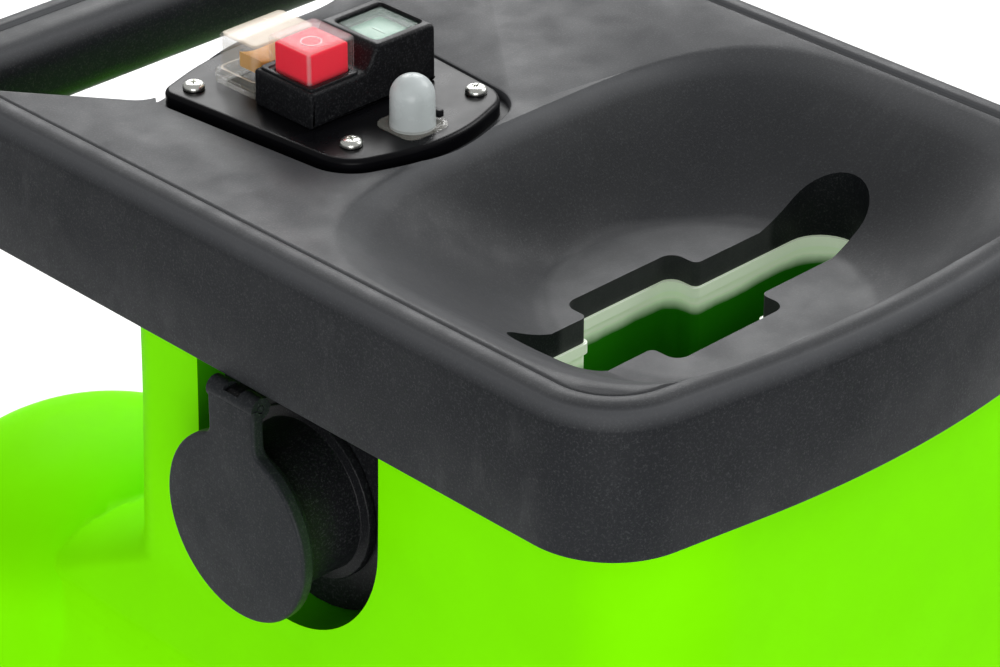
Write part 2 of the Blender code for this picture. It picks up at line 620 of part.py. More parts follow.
def make_cap(mats, y, z, hinge_x, hinge_z):
    """Flap cap: a disc with a sealing skirt, on a strap that ends in a hinge barrel."""
    hinge = (hinge_x, y, hinge_z)
    edge = 0.0015
    profile = [(CAP_R - edge, 0.0), (CAP_R, edge), (CAP_R, CAP_T - edge), (CAP_R - edge, CAP_T)]
    disc = turned("inlet_cap", profile, (CAP_X, y, z), "X", 28, mats["cover"], origin=hinge)
    outer, inner, depth = SOCKET_R + RUN + SEAL_T, SOCKET_R + RUN, CAP_T + SEAL_H
    seal = [(outer, CAP_T - 0.001), (outer, depth), (inner, depth), (inner, CAP_T - 0.001)]
    ring = turned("cap_seal_tool", seal, (CAP_X, y, z), "X", 28, closed=True)
    half = STRAP_W / 2
    strap = block("cap_strap_tool", CAP_X, CAP_X + 0.0052, y - half, y + half, z + CAP_R - 0.006, hinge_z)
    barrel = rod("cap_barrel_tool", HINGE_R, -half, half, hinge, "Y")
    add(disc, ring, strap, barrel)
    side, back = LUG_W / 2 + RUN, LUG_R + RUN
    notch = block("cap_notch_tool", hinge_x - back, hinge_x + 0.010, y - side, y + side,
                  hinge_z - back, hinge_z + 0.010)
    cut(disc, notch, rod("cap_pin_tool", 0.0015 + GAP, -0.030, 0.030, hinge, "Y"))
    rod("cap_hinge_pin", 0.0015, -half, half, hinge, "Y", mats["steel"], 10)


# ---------------------------------------------------------------- hopper hinge and lock
def make_hinge(mats):
    """Rear hinge: a leaf on the hopper with one knuckle, and a leaf on the chassis with two."""
    wall = DISH_Y + BODY_REAR_Y + GAP
    centre = (0, HINGE_Y, BODY_BOTTOM_Z)
    spans = {"hopper": [(-0.025, 0.025)], "chassis": [(-0.060, -0.025 - RUN), (0.025 + RUN, 0.060)]}
    for owner, up in (("hopper", 1), ("chassis", -1)):
        name = f"{owner}_hinge_leaf"
        reach = spans[owner][-1][1]
        heights = sorted((BODY_BOTTOM_Z + up * 0.0095, BODY_BOTTOM_Z + up * 0.045))
        leaf = block(name, -reach, reach, wall, wall + 0.003, *heights, mats["steel"])
        for i, (x0, x1) in enumerate(spans[owner]):
            root = sorted((BODY_BOTTOM_Z, BODY_BOTTOM_Z + up * 0.020))
            add(leaf, block(f"{name}_root_tool_{i}", x0, x1, wall + 0.0002, wall + 0.0029, *root))
            add(leaf, rod(f"{name}_knuckle_tool_{i}", 0.0075, x0, x1, centre, "X"))
        cut(leaf, rod(f"{name}_bore_tool", 0.0040 + GAP, -0.070, 0.070, centre, "X"))
    rod("hopper_hinge_pin", 0.0040, -0.064, 0.064, centre, "X", mats["steel"])


def star_outline(x, y, lobes=5, steps=40):
    points = []
    for k in range(steps):
        angle = 2 * pi * k / steps
        radius = 0.020 + 0.0035 * cos(lobes * angle)
        points.append(Vector((x + radius * cos(angle), y + radius * sin(angle))))
    return points


def lock_y():
    return DISH_Y + BODY_FRONT_Y - 0.024


def add_lug(body, z0, z1):
    """Moulded lug at the front of body, with the hole that the lock knob's shank passes."""
    y = lock_y()
    half, front, root = 0.020, y - 0.014, y + 0.026
    outline = rounded([(-half, front, 0.008), (half, front, 0.008), (half, root, 0), (-half, root, 0)])
    add(body, prism(f"{body.name}_lug_tool", outline, z0, z1))
    cut(body, rod(f"{body.name}_lug_hole_tool", 0.0050, -0.040, 0.040, (0, y, BODY_BOTTOM_Z), "Z"))


def make_lock(mats):
    """Star knob that clamps the hopper's front lug to the cutter housing's."""
    y = lock_y()
    z = BODY_BOTTOM_Z
    knob = prism("lock_knob", star_outline(0, y), z + 0.010, z + 0.032, mats["black"], (0, y, z), 0.003)
    add(knob, rod("knob_shank_tool", 0.0040, -0.007, 0.012, (0, y, z), "Z"))


# ---------------------------------------------------------------- cutter and motor
def make_cutter_housing(mats):
    bottom, top = HOUSING_BOTTOM_Z, HOUSING_TOP_Z
    outline = body_outline(BODY_HALF, BODY_FRONT_Y, BODY_REAR_Y, 0.060, 0.075)
    housing = prism("cutter_housing", outline, bottom, top, mats["cover"])
    core = prism("housing_core_tool", inset(outline, 0.005), bottom - 0.020, top - 0.006)
    axis = (0, AXIS_Y, 0)
    drum = rod("drum_tool", CHAMBER_R + 0.005, bottom + 0.012, top, axis, "Z", None, 40)
    cut(core, drum)
    chamber = rod("chamber_tool", CHAMBER_R, bottom + 0.018, top - 0.006, axis, "Z", None, 40)
    feed = prism("feed_mouth_tool", slot_outline(), top - 0.030, top + 0.010)
    front = DISH_Y + BODY_FRONT_Y + 0.020
    port = block("port_tool", -0.060, 0.060, front, AXIS_Y - CHAMBER_R + 0.030, bottom + 0.018, top - 0.008)
    bore = rod("housing_bore_tool", 0.016, bottom - 0.01, bottom + 0.03, axis, "Z")
    cut(housing, core, chamber, feed, port, bore)
    add_lug(housing, top - 0.010, top)


def make_rotor(mats):
    """Shaft, rotor core, cutter disc with two knives, clamp bolt and cooling fan."""
    disc_z = HOUSING_BOTTOM_Z + 0.036
    origin = (0, AXIS_Y, disc_z)
    shaft_low = MOTOR_BOTTOM_Z - 0.020
    rod("motor_shaft", SHAFT_R, shaft_low - disc_z, -GAP, origin, "Z", mats["steel"])
    disc = rod("cutter_disc", DISC_R, 0.0, DISC_T, origin, "Z", mats["steel"], 40)
    tools = []
    for i, side in enumerate((-1, 1), 1):
        place = (side * KNIFE_X, AXIS_Y, disc_z)
        gap_y = AXIS_Y - side * 0.012
        tools.append(block(f"knife_gap_tool_{i}", place[0] - 0.035, place[0] + 0.035,
                           gap_y - 0.006, gap_y + 0.006, disc_z - 0.010, disc_z + 0.020))
        y = AXIS_Y + side * 0.010
        low, high = disc_z + DISC_T + GAP, disc_z + DISC_T + KNIFE_T
        back = y + side * 0.014
        profile = [(y - side * 0.016, low), (back, low), (back, high), (y - side * 0.010, high)]
        rings = [[Vector((x, py, pz)) for py, pz in profile] for x in (place[0] - 0.036, place[0] + 0.036)]
        loft(f"knife_{i}", rings, mats["steel"], origin)
        head = (place[0], y + side * 0.003, high + GAP)
        turned(f"knife_screw_{i}", [(0.0060, 0.0), (0.0060, 0.003), (0.0045, 0.004)], head, "Z", 16,
               mats["zinc"], origin=origin)
    cut(disc, *tools)
    turned("disc_bolt", [(0.018, 0.0), (0.018, 0.003), (0.011, 0.003), (0.011, 0.011), (0.009, 0.013)],
           (0, AXIS_Y, disc_z + DISC_T + GAP), "Z", 16, mats["zinc"], origin=origin)
    core_low, core_high = MOTOR_BOTTOM_Z + 0.045 - disc_z, MOTOR_TOP_Z - 0.045 - disc_z
    make_sleeve("rotor_core", 0.040, core_low, core_high, origin, mats["steel"])
    fan_z = MOTOR_BOTTOM_Z - 0.014
    fan = make_sleeve("cooling_fan", 0.016, fan_z - disc_z, fan_z + 0.010 - disc_z, origin, mats["black"])
    for k in range(8):
        blade = block(f"fan_blade_tool_{k}", 0.014, 0.060, -0.001, 0.001, 0.0, 0.009)
        blade.location = (0, AXIS_Y, fan_z + 0.0005)
        blade.rotation_euler = (0, 0, 2 * pi * k / 8)
        add(fan, blade)


def make_sleeve(name, radius, low, high, centre, colour):
    """Ring that sits on the motor shaft with a small clearance."""
    bore = SHAFT_R + GAP
    profile = [(radius, low), (radius, high), (bore, high), (bore, low)]
    return turned(name, profile, centre, "Z", 24, colour, closed=True)


def make_motor(mats):
    """Stator casing, its two bearings and the vented lower cover."""
    axis = (0, AXIS_Y, 0)
    low, high, seat = MOTOR_BOTTOM_Z, MOTOR_TOP_Z, 0.016
    profile = [(MOTOR_R, low), (MOTOR_R, high), (seat, high), (seat, high - 0.014), (0.012, high - 0.014),
               (0.012, high - 0.018), (0.046, high - 0.030), (0.046, low + 0.030), (0.012, low + 0.018),
               (0.012, low + 0.014), (seat, low + 0.014), (seat, low)]
    turned("motor_casing", profile, axis, "Z", 20, mats["cast"], closed=True)
    for name, z in (("bearing_lower", low + 0.0005), ("bearing_upper", high - 0.0135)):
        make_sleeve(name, seat - GAP, z, z + 0.013, axis, mats["steel"])
    r, base, top = COVER_CUP_R, COVER_CUP_BOTTOM_Z, HOUSING_BOTTOM_Z + 0.012 - GAP
    outer = [(r, top), (r, base + 0.020), (r - 0.020, base), (0.020, base)]
    inner = [(0.020, base + 0.003), (r - 0.022, base + 0.003), (r - 0.003, base + 0.021), (r - 0.003, top)]
    cup = turned("motor_cover", outer + inner, axis, "Z", 24, mats["black"], closed=True)
    for k in range(6):
        vent = block(f"vent_tool_{k}", 0.035, 0.068, -0.005, 0.005, -0.02, 0.02)
        vent.location = (0, AXIS_Y, base)
        vent.rotation_euler = (0, 0, 2 * pi * k / 6)
        cut(cup, vent)


def make_discharge(mats):
    """Discharge chute: a square duct that leans out at the front."""
    top_z = HOUSING_BOTTOM_Z - GAP
    y0, y1 = DISH_Y + BODY_FRONT_Y + 0.003, AXIS_Y - COVER_CUP_R - 0.050
    mouth_y = DISH_Y + CHUTE_FRONT_Y
    top = rectangle(-0.075, 0.075, y0, y1, 0.010, 3)
    middle = rectangle(-0.075, 0.075, y0 - 0.020, y1 - 0.020, 0.010, 3)
    low = rectangle(-0.082, 0.082, mouth_y, mouth_y + 0.085, 0.010, 3)
    outer = [level(top, top_z), level(middle, top_z - 0.060), level(low, CHUTE_BOTTOM_Z)]
    inner = [level(inset([Vector((v.x, v.y)) for v in ring], 0.003), ring[0].z) for ring in reversed(outer)]
    loft("discharge_chute", outer + inner, mats["cover"], closed=True)


# ---------------------------------------------------------------- frame and wheels
def tube_path(side):
    """Side frame: down the front leg, back along the ground rail and up at the axle."""
    x_top, x = side * (FRAME_X - 0.012), side * FRAME_X
    front, rear = DISH_Y + FRAME_FRONT_Y, DISH_Y + AXLE_Y
    top = HOUSING_TOP_Z - 0.006 - GAP
    corners = [Vector((x_top, front + 0.045, top)), Vector((x, front, RAIL_Z)),
               Vector((x, rear, RAIL_Z)), Vector((x_top, rear - 0.030, top))]
    points = [corners[0]]
    bend = 0.055
    for i in (1, 2):
        before = (corners[i - 1] - corners[i]).normalized() * bend
        after = (corners[i + 1] - corners[i]).normalized() * bend
        for k in range(7):
            t = k / 6
            points.append(corners[i] + before * (1 - t) ** 2 + after * t ** 2)
    points.append(corners[3])
    return points


def make_tube(name, points, radius, colour, sides=10):
    """Round tube along points, closed at its ends."""
    rings = []
    for i, here in enumerate(points):
        ahead = points[min(i + 1, len(points) - 1)] - points[max(i - 1, 0)]
        across = Vector((1, 0, 0)) if abs(ahead.x) < 0.9 * ahead.length else Vector((0, 1, 0))
        v = ahead.cross(across).normalized()
        u = v.cross(ahead).normalized()
        if i in (0, len(points) - 1) and abs(ahead.z) > 0.5 * ahead.length:
            u, v = Vector((1, 0, 0)), Vector((0, 1, 0))
        rings.append([here + (u * cos(2 * pi * k / sides) + v * sin(2 * pi * k / sides)) * radius
                      for k in range(sides)])
    return loft(name, rings, colour)


def make_frame(mats):
    axle_y = DISH_Y + AXLE_Y
    for name, side in (("side_frame_left", -1), ("side_frame_right", 1)):
        tube = make_tube(name, tube_path(side), TUBE_R, mats["cover"])
        bore = rod(f"{name}_axle_tool", AXLE_R + GAP, -0.030, 0.030, (side * FRAME_X, axle_y, WHEEL_R), "X")
        cut(tube, bore)
    reach = FRAME_X - TUBE_R - GAP
    rod("cross_bar", 0.010, -reach, reach, (0, DISH_Y + 0.020, RAIL_Z), "X", mats["cover"])
    for name, side in (("foot_left", -1), ("foot_right", 1)):
        x = side * FRAME_X
        foot = rectangle(x - 0.017, x + 0.017, DISH_Y - 0.052, DISH_Y + 0.008, 0.010, 4)
        prism(name, foot, 0.0, RAIL_Z - TUBE_R - GAP, mats["rubber"])


def make_wheels(mats):
    y, z = DISH_Y + AXLE_Y, WHEEL_R
    inner_x = FRAME_X + TUBE_R + 0.008
    outer_x = inner_x + WHEEL_W
    rod("axle", AXLE_R, -outer_x - 0.001, outer_x + 0.001, (0, y, z), "X", mats["steel"])
    for name, side in (("left", -1), ("right", 1)):
        centre = (side * inner_x, y, z)
        width = side * WHEEL_W
        rim_r = WHEEL_R - 0.018
        bore = AXLE_R + GAP
        rim = [(bore, 0.0), (0.020, 0.0), (0.022, width * 0.40), (rim_r - 0.006, width * 0.40),
               (rim_r - 0.003, width * 0.08), (rim_r - GAP, width * 0.08), (rim_r - GAP, width * 0.92),
               (rim_r - 0.003, width * 0.92),
               (rim_r - 0.006, width * 0.56), (0.022, width * 0.56), (0.020, width), (bore, width)]
        turned(f"wheel_{name}", rim, centre, "X", 24, mats["cover"], closed=True)
        tyre = [(rim_r, 0.0), (WHEEL_R - 0.005, 0.0), (WHEEL_R, width * 0.2), (WHEEL_R, width * 0.8),
                (WHEEL_R - 0.005, width), (rim_r, width)]
        turned(f"tyre_{name}", tyre, centre, "X", 24, mats["rubber"], closed=True)
        cap_x = side * (outer_x + 0.0015)
        cap = [(0.016, 0.0), (0.016, side * 0.003), (0.010, side * 0.008)]
        turned(f"axle_cap_{name}", cap, (cap_x, y, z), "X", 20, mats["green"])


# ---------------------------------------------------------------- assembly
def main():
    for item in list(bpy.data.objects):
        bpy.data.objects.remove(item, do_unlink=True)
    mats = make_materials()
    make_top_cover(mats)
    make_panel(mats)
    make_switch(mats)
    make_rocker(mats)
    make_reset(mats)
    make_hopper_body(mats)
    make_feed_chute(mats)
    make_inlet(mats)
    make_hinge(mats)
    make_lock(mats)
    make_cutter_housing(mats)
    make_rotor(mats)
    make_motor(mats)
    make_discharge(mats)
    make_frame(mats)
    make_wheels(mats)


main()
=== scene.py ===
"""Looks of the garden shredder: finer shells, small fittings and procedural materials
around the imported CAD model. Metres, +Z up, -Y is the front."""
import json
from math import atan2, cos, pi, radians, sin, sqrt, tan

import bmesh
import bpy
from mathutils import Matrix, Vector


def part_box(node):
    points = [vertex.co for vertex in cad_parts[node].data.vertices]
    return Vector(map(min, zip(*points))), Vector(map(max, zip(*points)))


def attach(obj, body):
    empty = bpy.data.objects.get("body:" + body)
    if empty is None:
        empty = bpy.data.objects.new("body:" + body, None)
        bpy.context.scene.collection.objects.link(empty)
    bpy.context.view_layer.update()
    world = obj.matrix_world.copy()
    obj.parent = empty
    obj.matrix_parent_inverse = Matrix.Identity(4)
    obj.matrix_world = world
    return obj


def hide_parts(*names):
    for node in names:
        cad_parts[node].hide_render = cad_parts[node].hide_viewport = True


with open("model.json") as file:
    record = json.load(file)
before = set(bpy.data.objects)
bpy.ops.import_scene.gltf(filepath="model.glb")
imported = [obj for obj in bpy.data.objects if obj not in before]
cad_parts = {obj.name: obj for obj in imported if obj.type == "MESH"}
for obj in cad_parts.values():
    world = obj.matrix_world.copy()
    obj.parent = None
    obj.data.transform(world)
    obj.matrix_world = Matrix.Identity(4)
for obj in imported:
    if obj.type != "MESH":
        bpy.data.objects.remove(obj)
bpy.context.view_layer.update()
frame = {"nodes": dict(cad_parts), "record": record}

# ---------------------------------------------------------------- sizes read from the frame
COVER_LOW, COVER_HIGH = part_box("top_cover")
BEAD_H = 0.0012
TOP_Z = COVER_HIGH.z - BEAD_H
COVER_HALF = COVER_HIGH.x
COVER_REAR_Y = COVER_HIGH.y
DISH_Y = COVER_REAR_Y - 0.331  # middle of the dish
SKIRT_Z = COVER_LOW.z
DISH_DEPTH = 0.045
FLOOR_Z = TOP_Z - DISH_DEPTH
FLOOR_R = 0.065
BAR_DEPTH = 0.035
PANEL_LOW, PANEL_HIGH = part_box("control_panel")
PANEL_TOP = PANEL_HIGH.z
PANEL_X = (PANEL_LOW.x + PANEL_HIGH.x) / 2
BODY_LOW, BODY_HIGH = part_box("hopper_body")
CAP_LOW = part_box("inlet_cap")[0]
CAP_Y, CAP_Z, CAP_R = DISH_Y + 0.1045, TOP_Z - 0.127, 0.041
STRAP_HALF = 0.0135
LOCK_Y = DISH_Y - 0.154
RECESS_X = -0.1105  # back wall of the inlet recess
HOLE_SIDE = COVER_HALF - 0.017
PANEL_FRONT_Y, PANEL_REAR_Y = DISH_Y + 0.102, DISH_Y + 0.238
WALL = 0.0045
GAP = 0.0003
OVER = 0.02  # how far a cutter runs past what it cuts


# ---------------------------------------------------------------- node helpers
class Graph:
    """Short calls for building one material's node tree."""

    def __init__(self, name):
        self.material = bpy.data.materials.new(name)
        self.material.use_nodes = True
        self.tree = self.material.node_tree
        self.shader = self.tree.nodes["Principled BSDF"]
        self.place = self.tree.nodes.new("ShaderNodeTexCoord").outputs["Object"]

    def put(self, **values):
        for name, value in values.items():
            self.shader.inputs[name.replace("_", " ")].default_value = value

    def link(self, output, name):
        self.tree.links.new(output, self.shader.inputs[name])

    def node(self, kind, inputs=(), **settings):
        made = self.tree.nodes.new("ShaderNode" + kind)
        for key, value in settings.items():
            setattr(made, key, value)
        for key, value in dict(inputs).items():
            if isinstance(value, bpy.types.NodeSocket):
                self.tree.links.new(value, made.inputs[key])
            else:
                made.inputs[key].default_value = value
        return made

    def noise(self, scale, detail=3.0, rough=0.5, stretch=None):
        vector = self.place
        if stretch:
            vector = self.node("Mapping", {"Vector": vector, "Scale": stretch}).outputs["Vector"]
        made = self.node("TexNoise", {"Vector": vector, "Scale": scale, "Detail": detail, "Roughness": rough})
        return made.outputs["Fac"]

    def ramp(self, value, low, high, dark=0.0, light=1.0):
        """value mapped from low..high to dark..light, and held outside."""
        made = self.node("MapRange", {"Value": value, "From Min": low, "From Max": high,
                                      "To Min": dark, "To Max": light})
        return made.outputs["Result"]

    def gloss(self, pattern, low, high):
        self.link(self.ramp(self.noise(*pattern), 0.3, 0.7, low, high), "Roughness")

    def math(self, operation, a, b=0.0):
        return self.node("Math", {0: a, 1: b}, operation=operation).outputs[0]

    def blend(self, factor, a, b):
        mix = self.tree.nodes.new("ShaderNodeMix")
        mix.data_type = "RGBA"
        for socket, value in ((mix.inputs[0], factor), (mix.inputs[6], a), (mix.inputs[7], b)):
            if isinstance(value, bpy.types.NodeSocket):
                self.tree.links.new(value, socket)
            else:
                socket.default_value = value
        return mix.outputs[2]

    def bump(self, height, strength, distance):
        made = self.node("Bump", {"Height": height, "Strength": strength, "Distance": distance})
        self.link(made.outputs["Normal"], "Normal")


def rgb(r, g, b):
    return (r, g, b, 1.0)


# ---------------------------------------------------------------- materials
def moulded_black(name, dark, light, rough_low, rough_high, grain=0.00006, scuffs=0.18, top_light=0.0, wear_and_crest_highlight=False):
    """Matte moulded plastic: clouded grey, fine grain, rubbed streaks, specks and painted light that lightens
    what faces up; with the wear option, a rubbed disc on the dish floor and a painted highlight on the bead
    crest.
    """
    g = Graph(name)
    clouds = g.ramp(g.noise(14.0, 5.0, 0.6), 0.35, 0.68)
    colour = g.blend(clouds, rgb(*dark), rgb(*light))
    streaks = ((30.0, 6.0, 0.7, (1.0, 2.6, 1.0)), 0.58, 0.80, scuffs, (0.115, 0.118, 0.122))
    scratches = ((60.0, 8.0, 0.8, (0.5, 5.0, 1.0)), 0.66, 0.74, scuffs, (0.17, 0.172, 0.175))
    specks = ((1100.0, 2.0, 0.8), 0.52, 0.80, 0.34, (0.13, 0.135, 0.14))
    for pattern, start, end, strength, tint in (streaks, scratches, specks):
        colour = g.blend(g.ramp(g.noise(*pattern), start, end, 0.0, strength), colour, rgb(*tint))
    normal = g.node("SeparateXYZ", {0: g.node("NewGeometry").outputs["Normal"]})
    # painted light: faces that point up are lightened towards a paler grey, as if lit from above
    top_light_mask = g.ramp(normal.outputs[2], 0.35, 0.95, 0.0, top_light)
    colour = g.blend(top_light_mask, colour, rgb(0.105, 0.108, 0.114))
    if wear_and_crest_highlight:
        offset = g.node("VectorMath", {0: g.place, 1: (0.006, DISH_Y + 0.004, FLOOR_Z)}, operation="SUBTRACT")
        split = g.node("SeparateXYZ", {0: offset.outputs[0]})
        flat = g.node("CombineXYZ", {0: split.outputs[0], 1: split.outputs[1], 2: 0.0})
        reach = g.node("VectorMath", {0: flat.outputs[0]}, operation="LENGTH").outputs["Value"]
        edge = g.math("ADD", reach, g.ramp(g.noise(18.0, 2.0, 0.5), 0.3, 0.7, -0.0025, 0.0025))
        disc = g.ramp(edge, FLOOR_R + 0.001, FLOOR_R - 0.002)
        low = g.ramp(split.outputs[2], 0.018, 0.012)
        patchy = g.ramp(g.noise(38.0, 6.0, 0.75), 0.30, 0.72, 0.26, 0.48)
        rubbed = g.math("MULTIPLY", g.math("MULTIPLY", disc, low), patchy)
        colour = g.blend(rubbed, colour, rgb(0.12, 0.122, 0.126))
        # painted highlight: the sloped faces of the bead just under the top are lightened like a lit crest;
        # the disc above is wear
        height = g.node("SeparateXYZ", {0: g.place}).outputs[2]
        crest = g.math("MULTIPLY", g.ramp(height, TOP_Z - 0.0075, TOP_Z - 0.0020),
                       g.ramp(normal.outputs[2], 0.93, 0.80, 0.0, 0.55))
        colour = g.blend(crest, colour, rgb(0.130, 0.134, 0.142))
    g.link(colour, "Base Color")
    g.gloss((55.0, 5.0, 0.6), rough_low, rough_high)
    g.bump(g.noise(1100.0, 3.0, 0.7), 0.75, grain)
    g.put(IOR=1.27)
    return g.material


def plain_plastic(name, colour, roughness, shift=0.10, grain=0.00002, grain_scale=900.0, **values):
    """Moulded plastic of one colour, with soft colour shift, faint grain and uneven gloss."""
    g = Graph(name)
    clouds = g.ramp(g.noise(22.0, 4.0, 0.55), 0.3, 0.7, 0.0, 1.0)
    dark = rgb(*[c * (1.0 - shift) for c in colour])
    light = rgb(*[min(1.0, c * (1.0 + shift)) for c in colour])
    g.link(g.blend(clouds, dark, light), "Base Color")
    g.gloss((70.0, 5.0, 0.6), roughness * 0.85, roughness * 1.15)
    g.bump(g.noise(grain_scale, 2.0, 0.5), 0.4, grain)
    g.put(**values)
    return g.material


def metal(name, colour, rough_low, rough_high, stretch=(1.0, 1.0, 30.0)):
    """Bare metal with drawn lines and patches of dull oxide."""
    g = Graph(name)
    dull = g.ramp(g.noise(120.0, 4.0, 0.6), 0.35, 0.75, 0.0, 0.5)
    g.link(g.blend(dull, rgb(*colour), rgb(*[c * 0.62 for c in colour])), "Base Color")
    g.gloss((260.0, 4.0, 0.6, stretch), rough_low, rough_high)
    g.bump(g.noise(700.0, 3.0, 0.6, stretch), 0.3, 0.00003)
    g.put(Metallic=1.0)
    return g.material


def clear_film(name, tint, alpha, roughness):
    """Thin clear moulding that shows what is under it, with a milky haze and gloss."""
    g = Graph(name)
    haze = g.ramp(g.noise(90.0, 4.0, 0.6), 0.3, 0.7, 0.0, 1.0)
    g.link(g.blend(haze, rgb(*tint), rgb(*[c * 0.92 for c in tint])), "Base Color")
    g.gloss((150.0, 3.0, 0.5), roughness * 0.7, roughness * 1.4)
    g.put(Alpha=alpha, IOR=1.45)
    return g.material


def chute_plastic():
    """Green plastic: a pale band near the top where the waste enters, partly rubbed plastic and partly
    painted light that glows through emission, and painted shade darkening to deep green below.
    """
    g = Graph("chute_plastic")
    height = g.node("SeparateXYZ", {0: g.place}).outputs[2]
    edge = g.math("ADD", height, g.ramp(g.noise(60.0, 3.0, 0.5), 0.3, 0.7, -0.0006, 0.0006))
    top = FLOOR_Z - 0.016
    # painted light: the pale band near the top is partly rubbed plastic and partly a painted lit wall, and it
    # also glows (emission)
    rubbed = g.ramp(edge, top - 0.0085, top - 0.0030)
    # painted shade: the green darkens towards the bottom of the chute
    deep = g.ramp(edge, top - 0.060, top - 0.012)
    green = g.blend(deep, rgb(0.008, 0.120, 0.001), rgb(0.020, 0.260, 0.002))
    g.link(g.blend(rubbed, green, rgb(0.86, 1.00, 0.78)), "Base Color")
    g.link(g.blend(rubbed, rgb(0.0, 0.0, 0.0), rgb(0.78, 0.95, 0.66)), "Emission Color")
    g.gloss((70.0, 5.0, 0.6), 0.36, 0.48)
    g.bump(g.noise(900.0, 2.0, 0.5), 0.4, 0.00002)
    g.put(Specular_IOR_Level=0.2, Emission_Strength=0.22)
    return g.material


MATS = {
    # cover: painted light lightens what faces up and the bead crest; the rubbed disc on the dish floor is
    # wear
    "cover": moulded_black("cover_plastic", (0.0085, 0.0100, 0.0125), (0.0140, 0.0155, 0.0185), 0.42, 0.56,
                           top_light=0.26, wear_and_crest_highlight=True),
    "trim": moulded_black("trim_plastic", (0.003, 0.003, 0.004), (0.007, 0.0075, 0.009), 0.34, 0.50,
                          scuffs=0.05),
    "cap": moulded_black("cap_plastic", (0.011, 0.013, 0.015), (0.018, 0.021, 0.024), 0.42, 0.55,
                         scuffs=0.15),
    "panel": plain_plastic("panel_plastic", (0.003, 0.003, 0.004), 0.30, 0.2, 0.00003, 1200.0, IOR=1.20),
    "green": plain_plastic("body_plastic", (0.235, 0.975, 0.000), 0.46, 0.025, 0.00004, 500.0,
                           Specular_IOR_Level=0.01),
    "inner_green": chute_plastic(),
    "red": plain_plastic("stop_plastic", (1.00, 0.006, 0.036), 0.36, 0.01, Specular_IOR_Level=0.05),
    "start": plain_plastic("start_plastic", (0.16, 0.42, 0.28), 0.35, 0.05),
    "amber": plain_plastic("rocker_plastic", (1.00, 0.44, 0.01), 0.34, 0.06, Specular_IOR_Level=0.2),
    "film": clear_film("film_side", (0.80, 0.80, 0.78), 0.025, 0.10),
    "film_grey": clear_film("film_grey", (0.56, 0.55, 0.49), 0.17, 0.14),
    "film_red": clear_film("film_stop_top", (0.98, 0.55, 0.58), 0.16, 0.20),
    "film_start": clear_film("film_start_top", (0.50, 0.66, 0.58), 0.16, 0.14),
    "film_milky": clear_film("film_rocker_top", (0.82, 0.68, 0.50), 0.48, 0.20),
    "film_edge": clear_film("film_edge", (0.80, 0.80, 0.78), 0.16, 0.14),
    # painted light: a near-white green that also glows, for the lit deck top and slot walls of the body
    "lip_glow": plain_plastic("lip_painted_glow", (0.90, 1.00, 0.84), 0.34, 0.03,
                              Emission_Color=rgb(0.78, 0.95, 0.66), Emission_Strength=0.22),
    # painted shade: a darker copy of the body green for the walls of the inlet recess
    "recess": plain_plastic("recess_painted_shade", (0.050, 0.420, 0.000), 0.45, 0.06, Specular_IOR_Level=0.05),
    "silicone": clear_film("boot_silicone", (0.80, 0.86, 0.86), 0.66, 0.24),
    "zinc": metal("zinc_plate", (0.78, 0.79, 0.74), 0.18, 0.35),
    "steel": metal("ground_steel", (0.48, 0.49, 0.50), 0.25, 0.42),
    "brass": metal("brass", (0.72, 0.52, 0.22), 0.20, 0.35),
    "cast": metal("cast_alloy", (0.33, 0.34, 0.35), 0.45, 0.62, (1.0, 1.0, 1.0)),
    "rubber": moulded_black("tyre_rubber", (0.010, 0.010, 0.011), (0.018, 0.018, 0.019), 0.65, 0.85,
                            scuffs=0.20),
    "mark": plain_plastic("key_mark", (0.86, 0.60, 0.62), 0.40, 0.02),
    "mark_green": plain_plastic("start_mark", (0.62, 0.85, 0.74), 0.40, 0.02),
}


# ---------------------------------------------------------------- outlines
def rounded(corners, steps=8):
    """Closed outline through corners (x, y, radius), each rounded by an arc."""
    points = []
    for i, (x, y, radius) in enumerate(corners):
        here = Vector((x, y))
        before = (Vector(corners[i - 1][:2]) - here).normalized()
        after = (Vector(corners[(i + 1) % len(corners)][:2]) - here).normalized()
        if radius <= 0:
            points.append(here)
            continue
        half = before.angle(after) / 2
        centre = here + (before + after).normalized() * (radius / sin(half))
        start = here + before * (radius / tan(half)) - centre
        turn = start.angle_signed(here + after * (radius / tan(half)) - centre)
        for k in range(steps + 1):
            points.append(centre + Matrix.Rotation(-turn * k / steps, 2) @ start)
    return points


def rectangle(x0, x1, y0, y1, radius=0.0, steps=6):
    return rounded([(x0, y0, radius), (x1, y0, radius), (x1, y1, radius), (x0, y1, radius)], steps)


def circle(x, y, radius, steps):
    return arc(x, y, radius, 0.0, 2 * pi, steps)[:-1]


def arc(x, y, radius, start, sweep, steps):
    """Points on an arc about x and y, with both its ends."""
    turns = [start + sweep * k / steps for k in range(steps + 1)]
    return [Vector((x + radius * cos(turn), y + radius * sin(turn))) for turn in turns]


def inset(points, distance):
    """The outline moved in by distance (out if negative); it runs counter-clockwise."""
    moved = []
    for i, here in enumerate(points):
        before = (here - points[i - 1]).normalized()
        after = (points[(i + 1) % len(points)] - here).normalized()
        normal = Vector((-before.y - after.y, before.x + after.x)).normalized()
        reach = distance / max(0.3, normal.dot(Vector((-after.y, after.x))))
        moved.append(here + normal * reach)
    return moved


def level(points, z):
    return [Vector((p.x, p.y, z)) for p in points]


# ---------------------------------------------------------------- mesh helpers
def finish_mesh(obj, smooth=35):
    obj.data.shade_smooth()
    obj.data.set_sharp_from_angle(angle=radians(smooth))


def add_object(name, data):
    made = bpy.data.objects.new(name, data)
    bpy.context.scene.collection.objects.link(made)
    return made


def only_material(obj, material):
    obj.data.materials.clear()
    obj.data.materials.append(material)


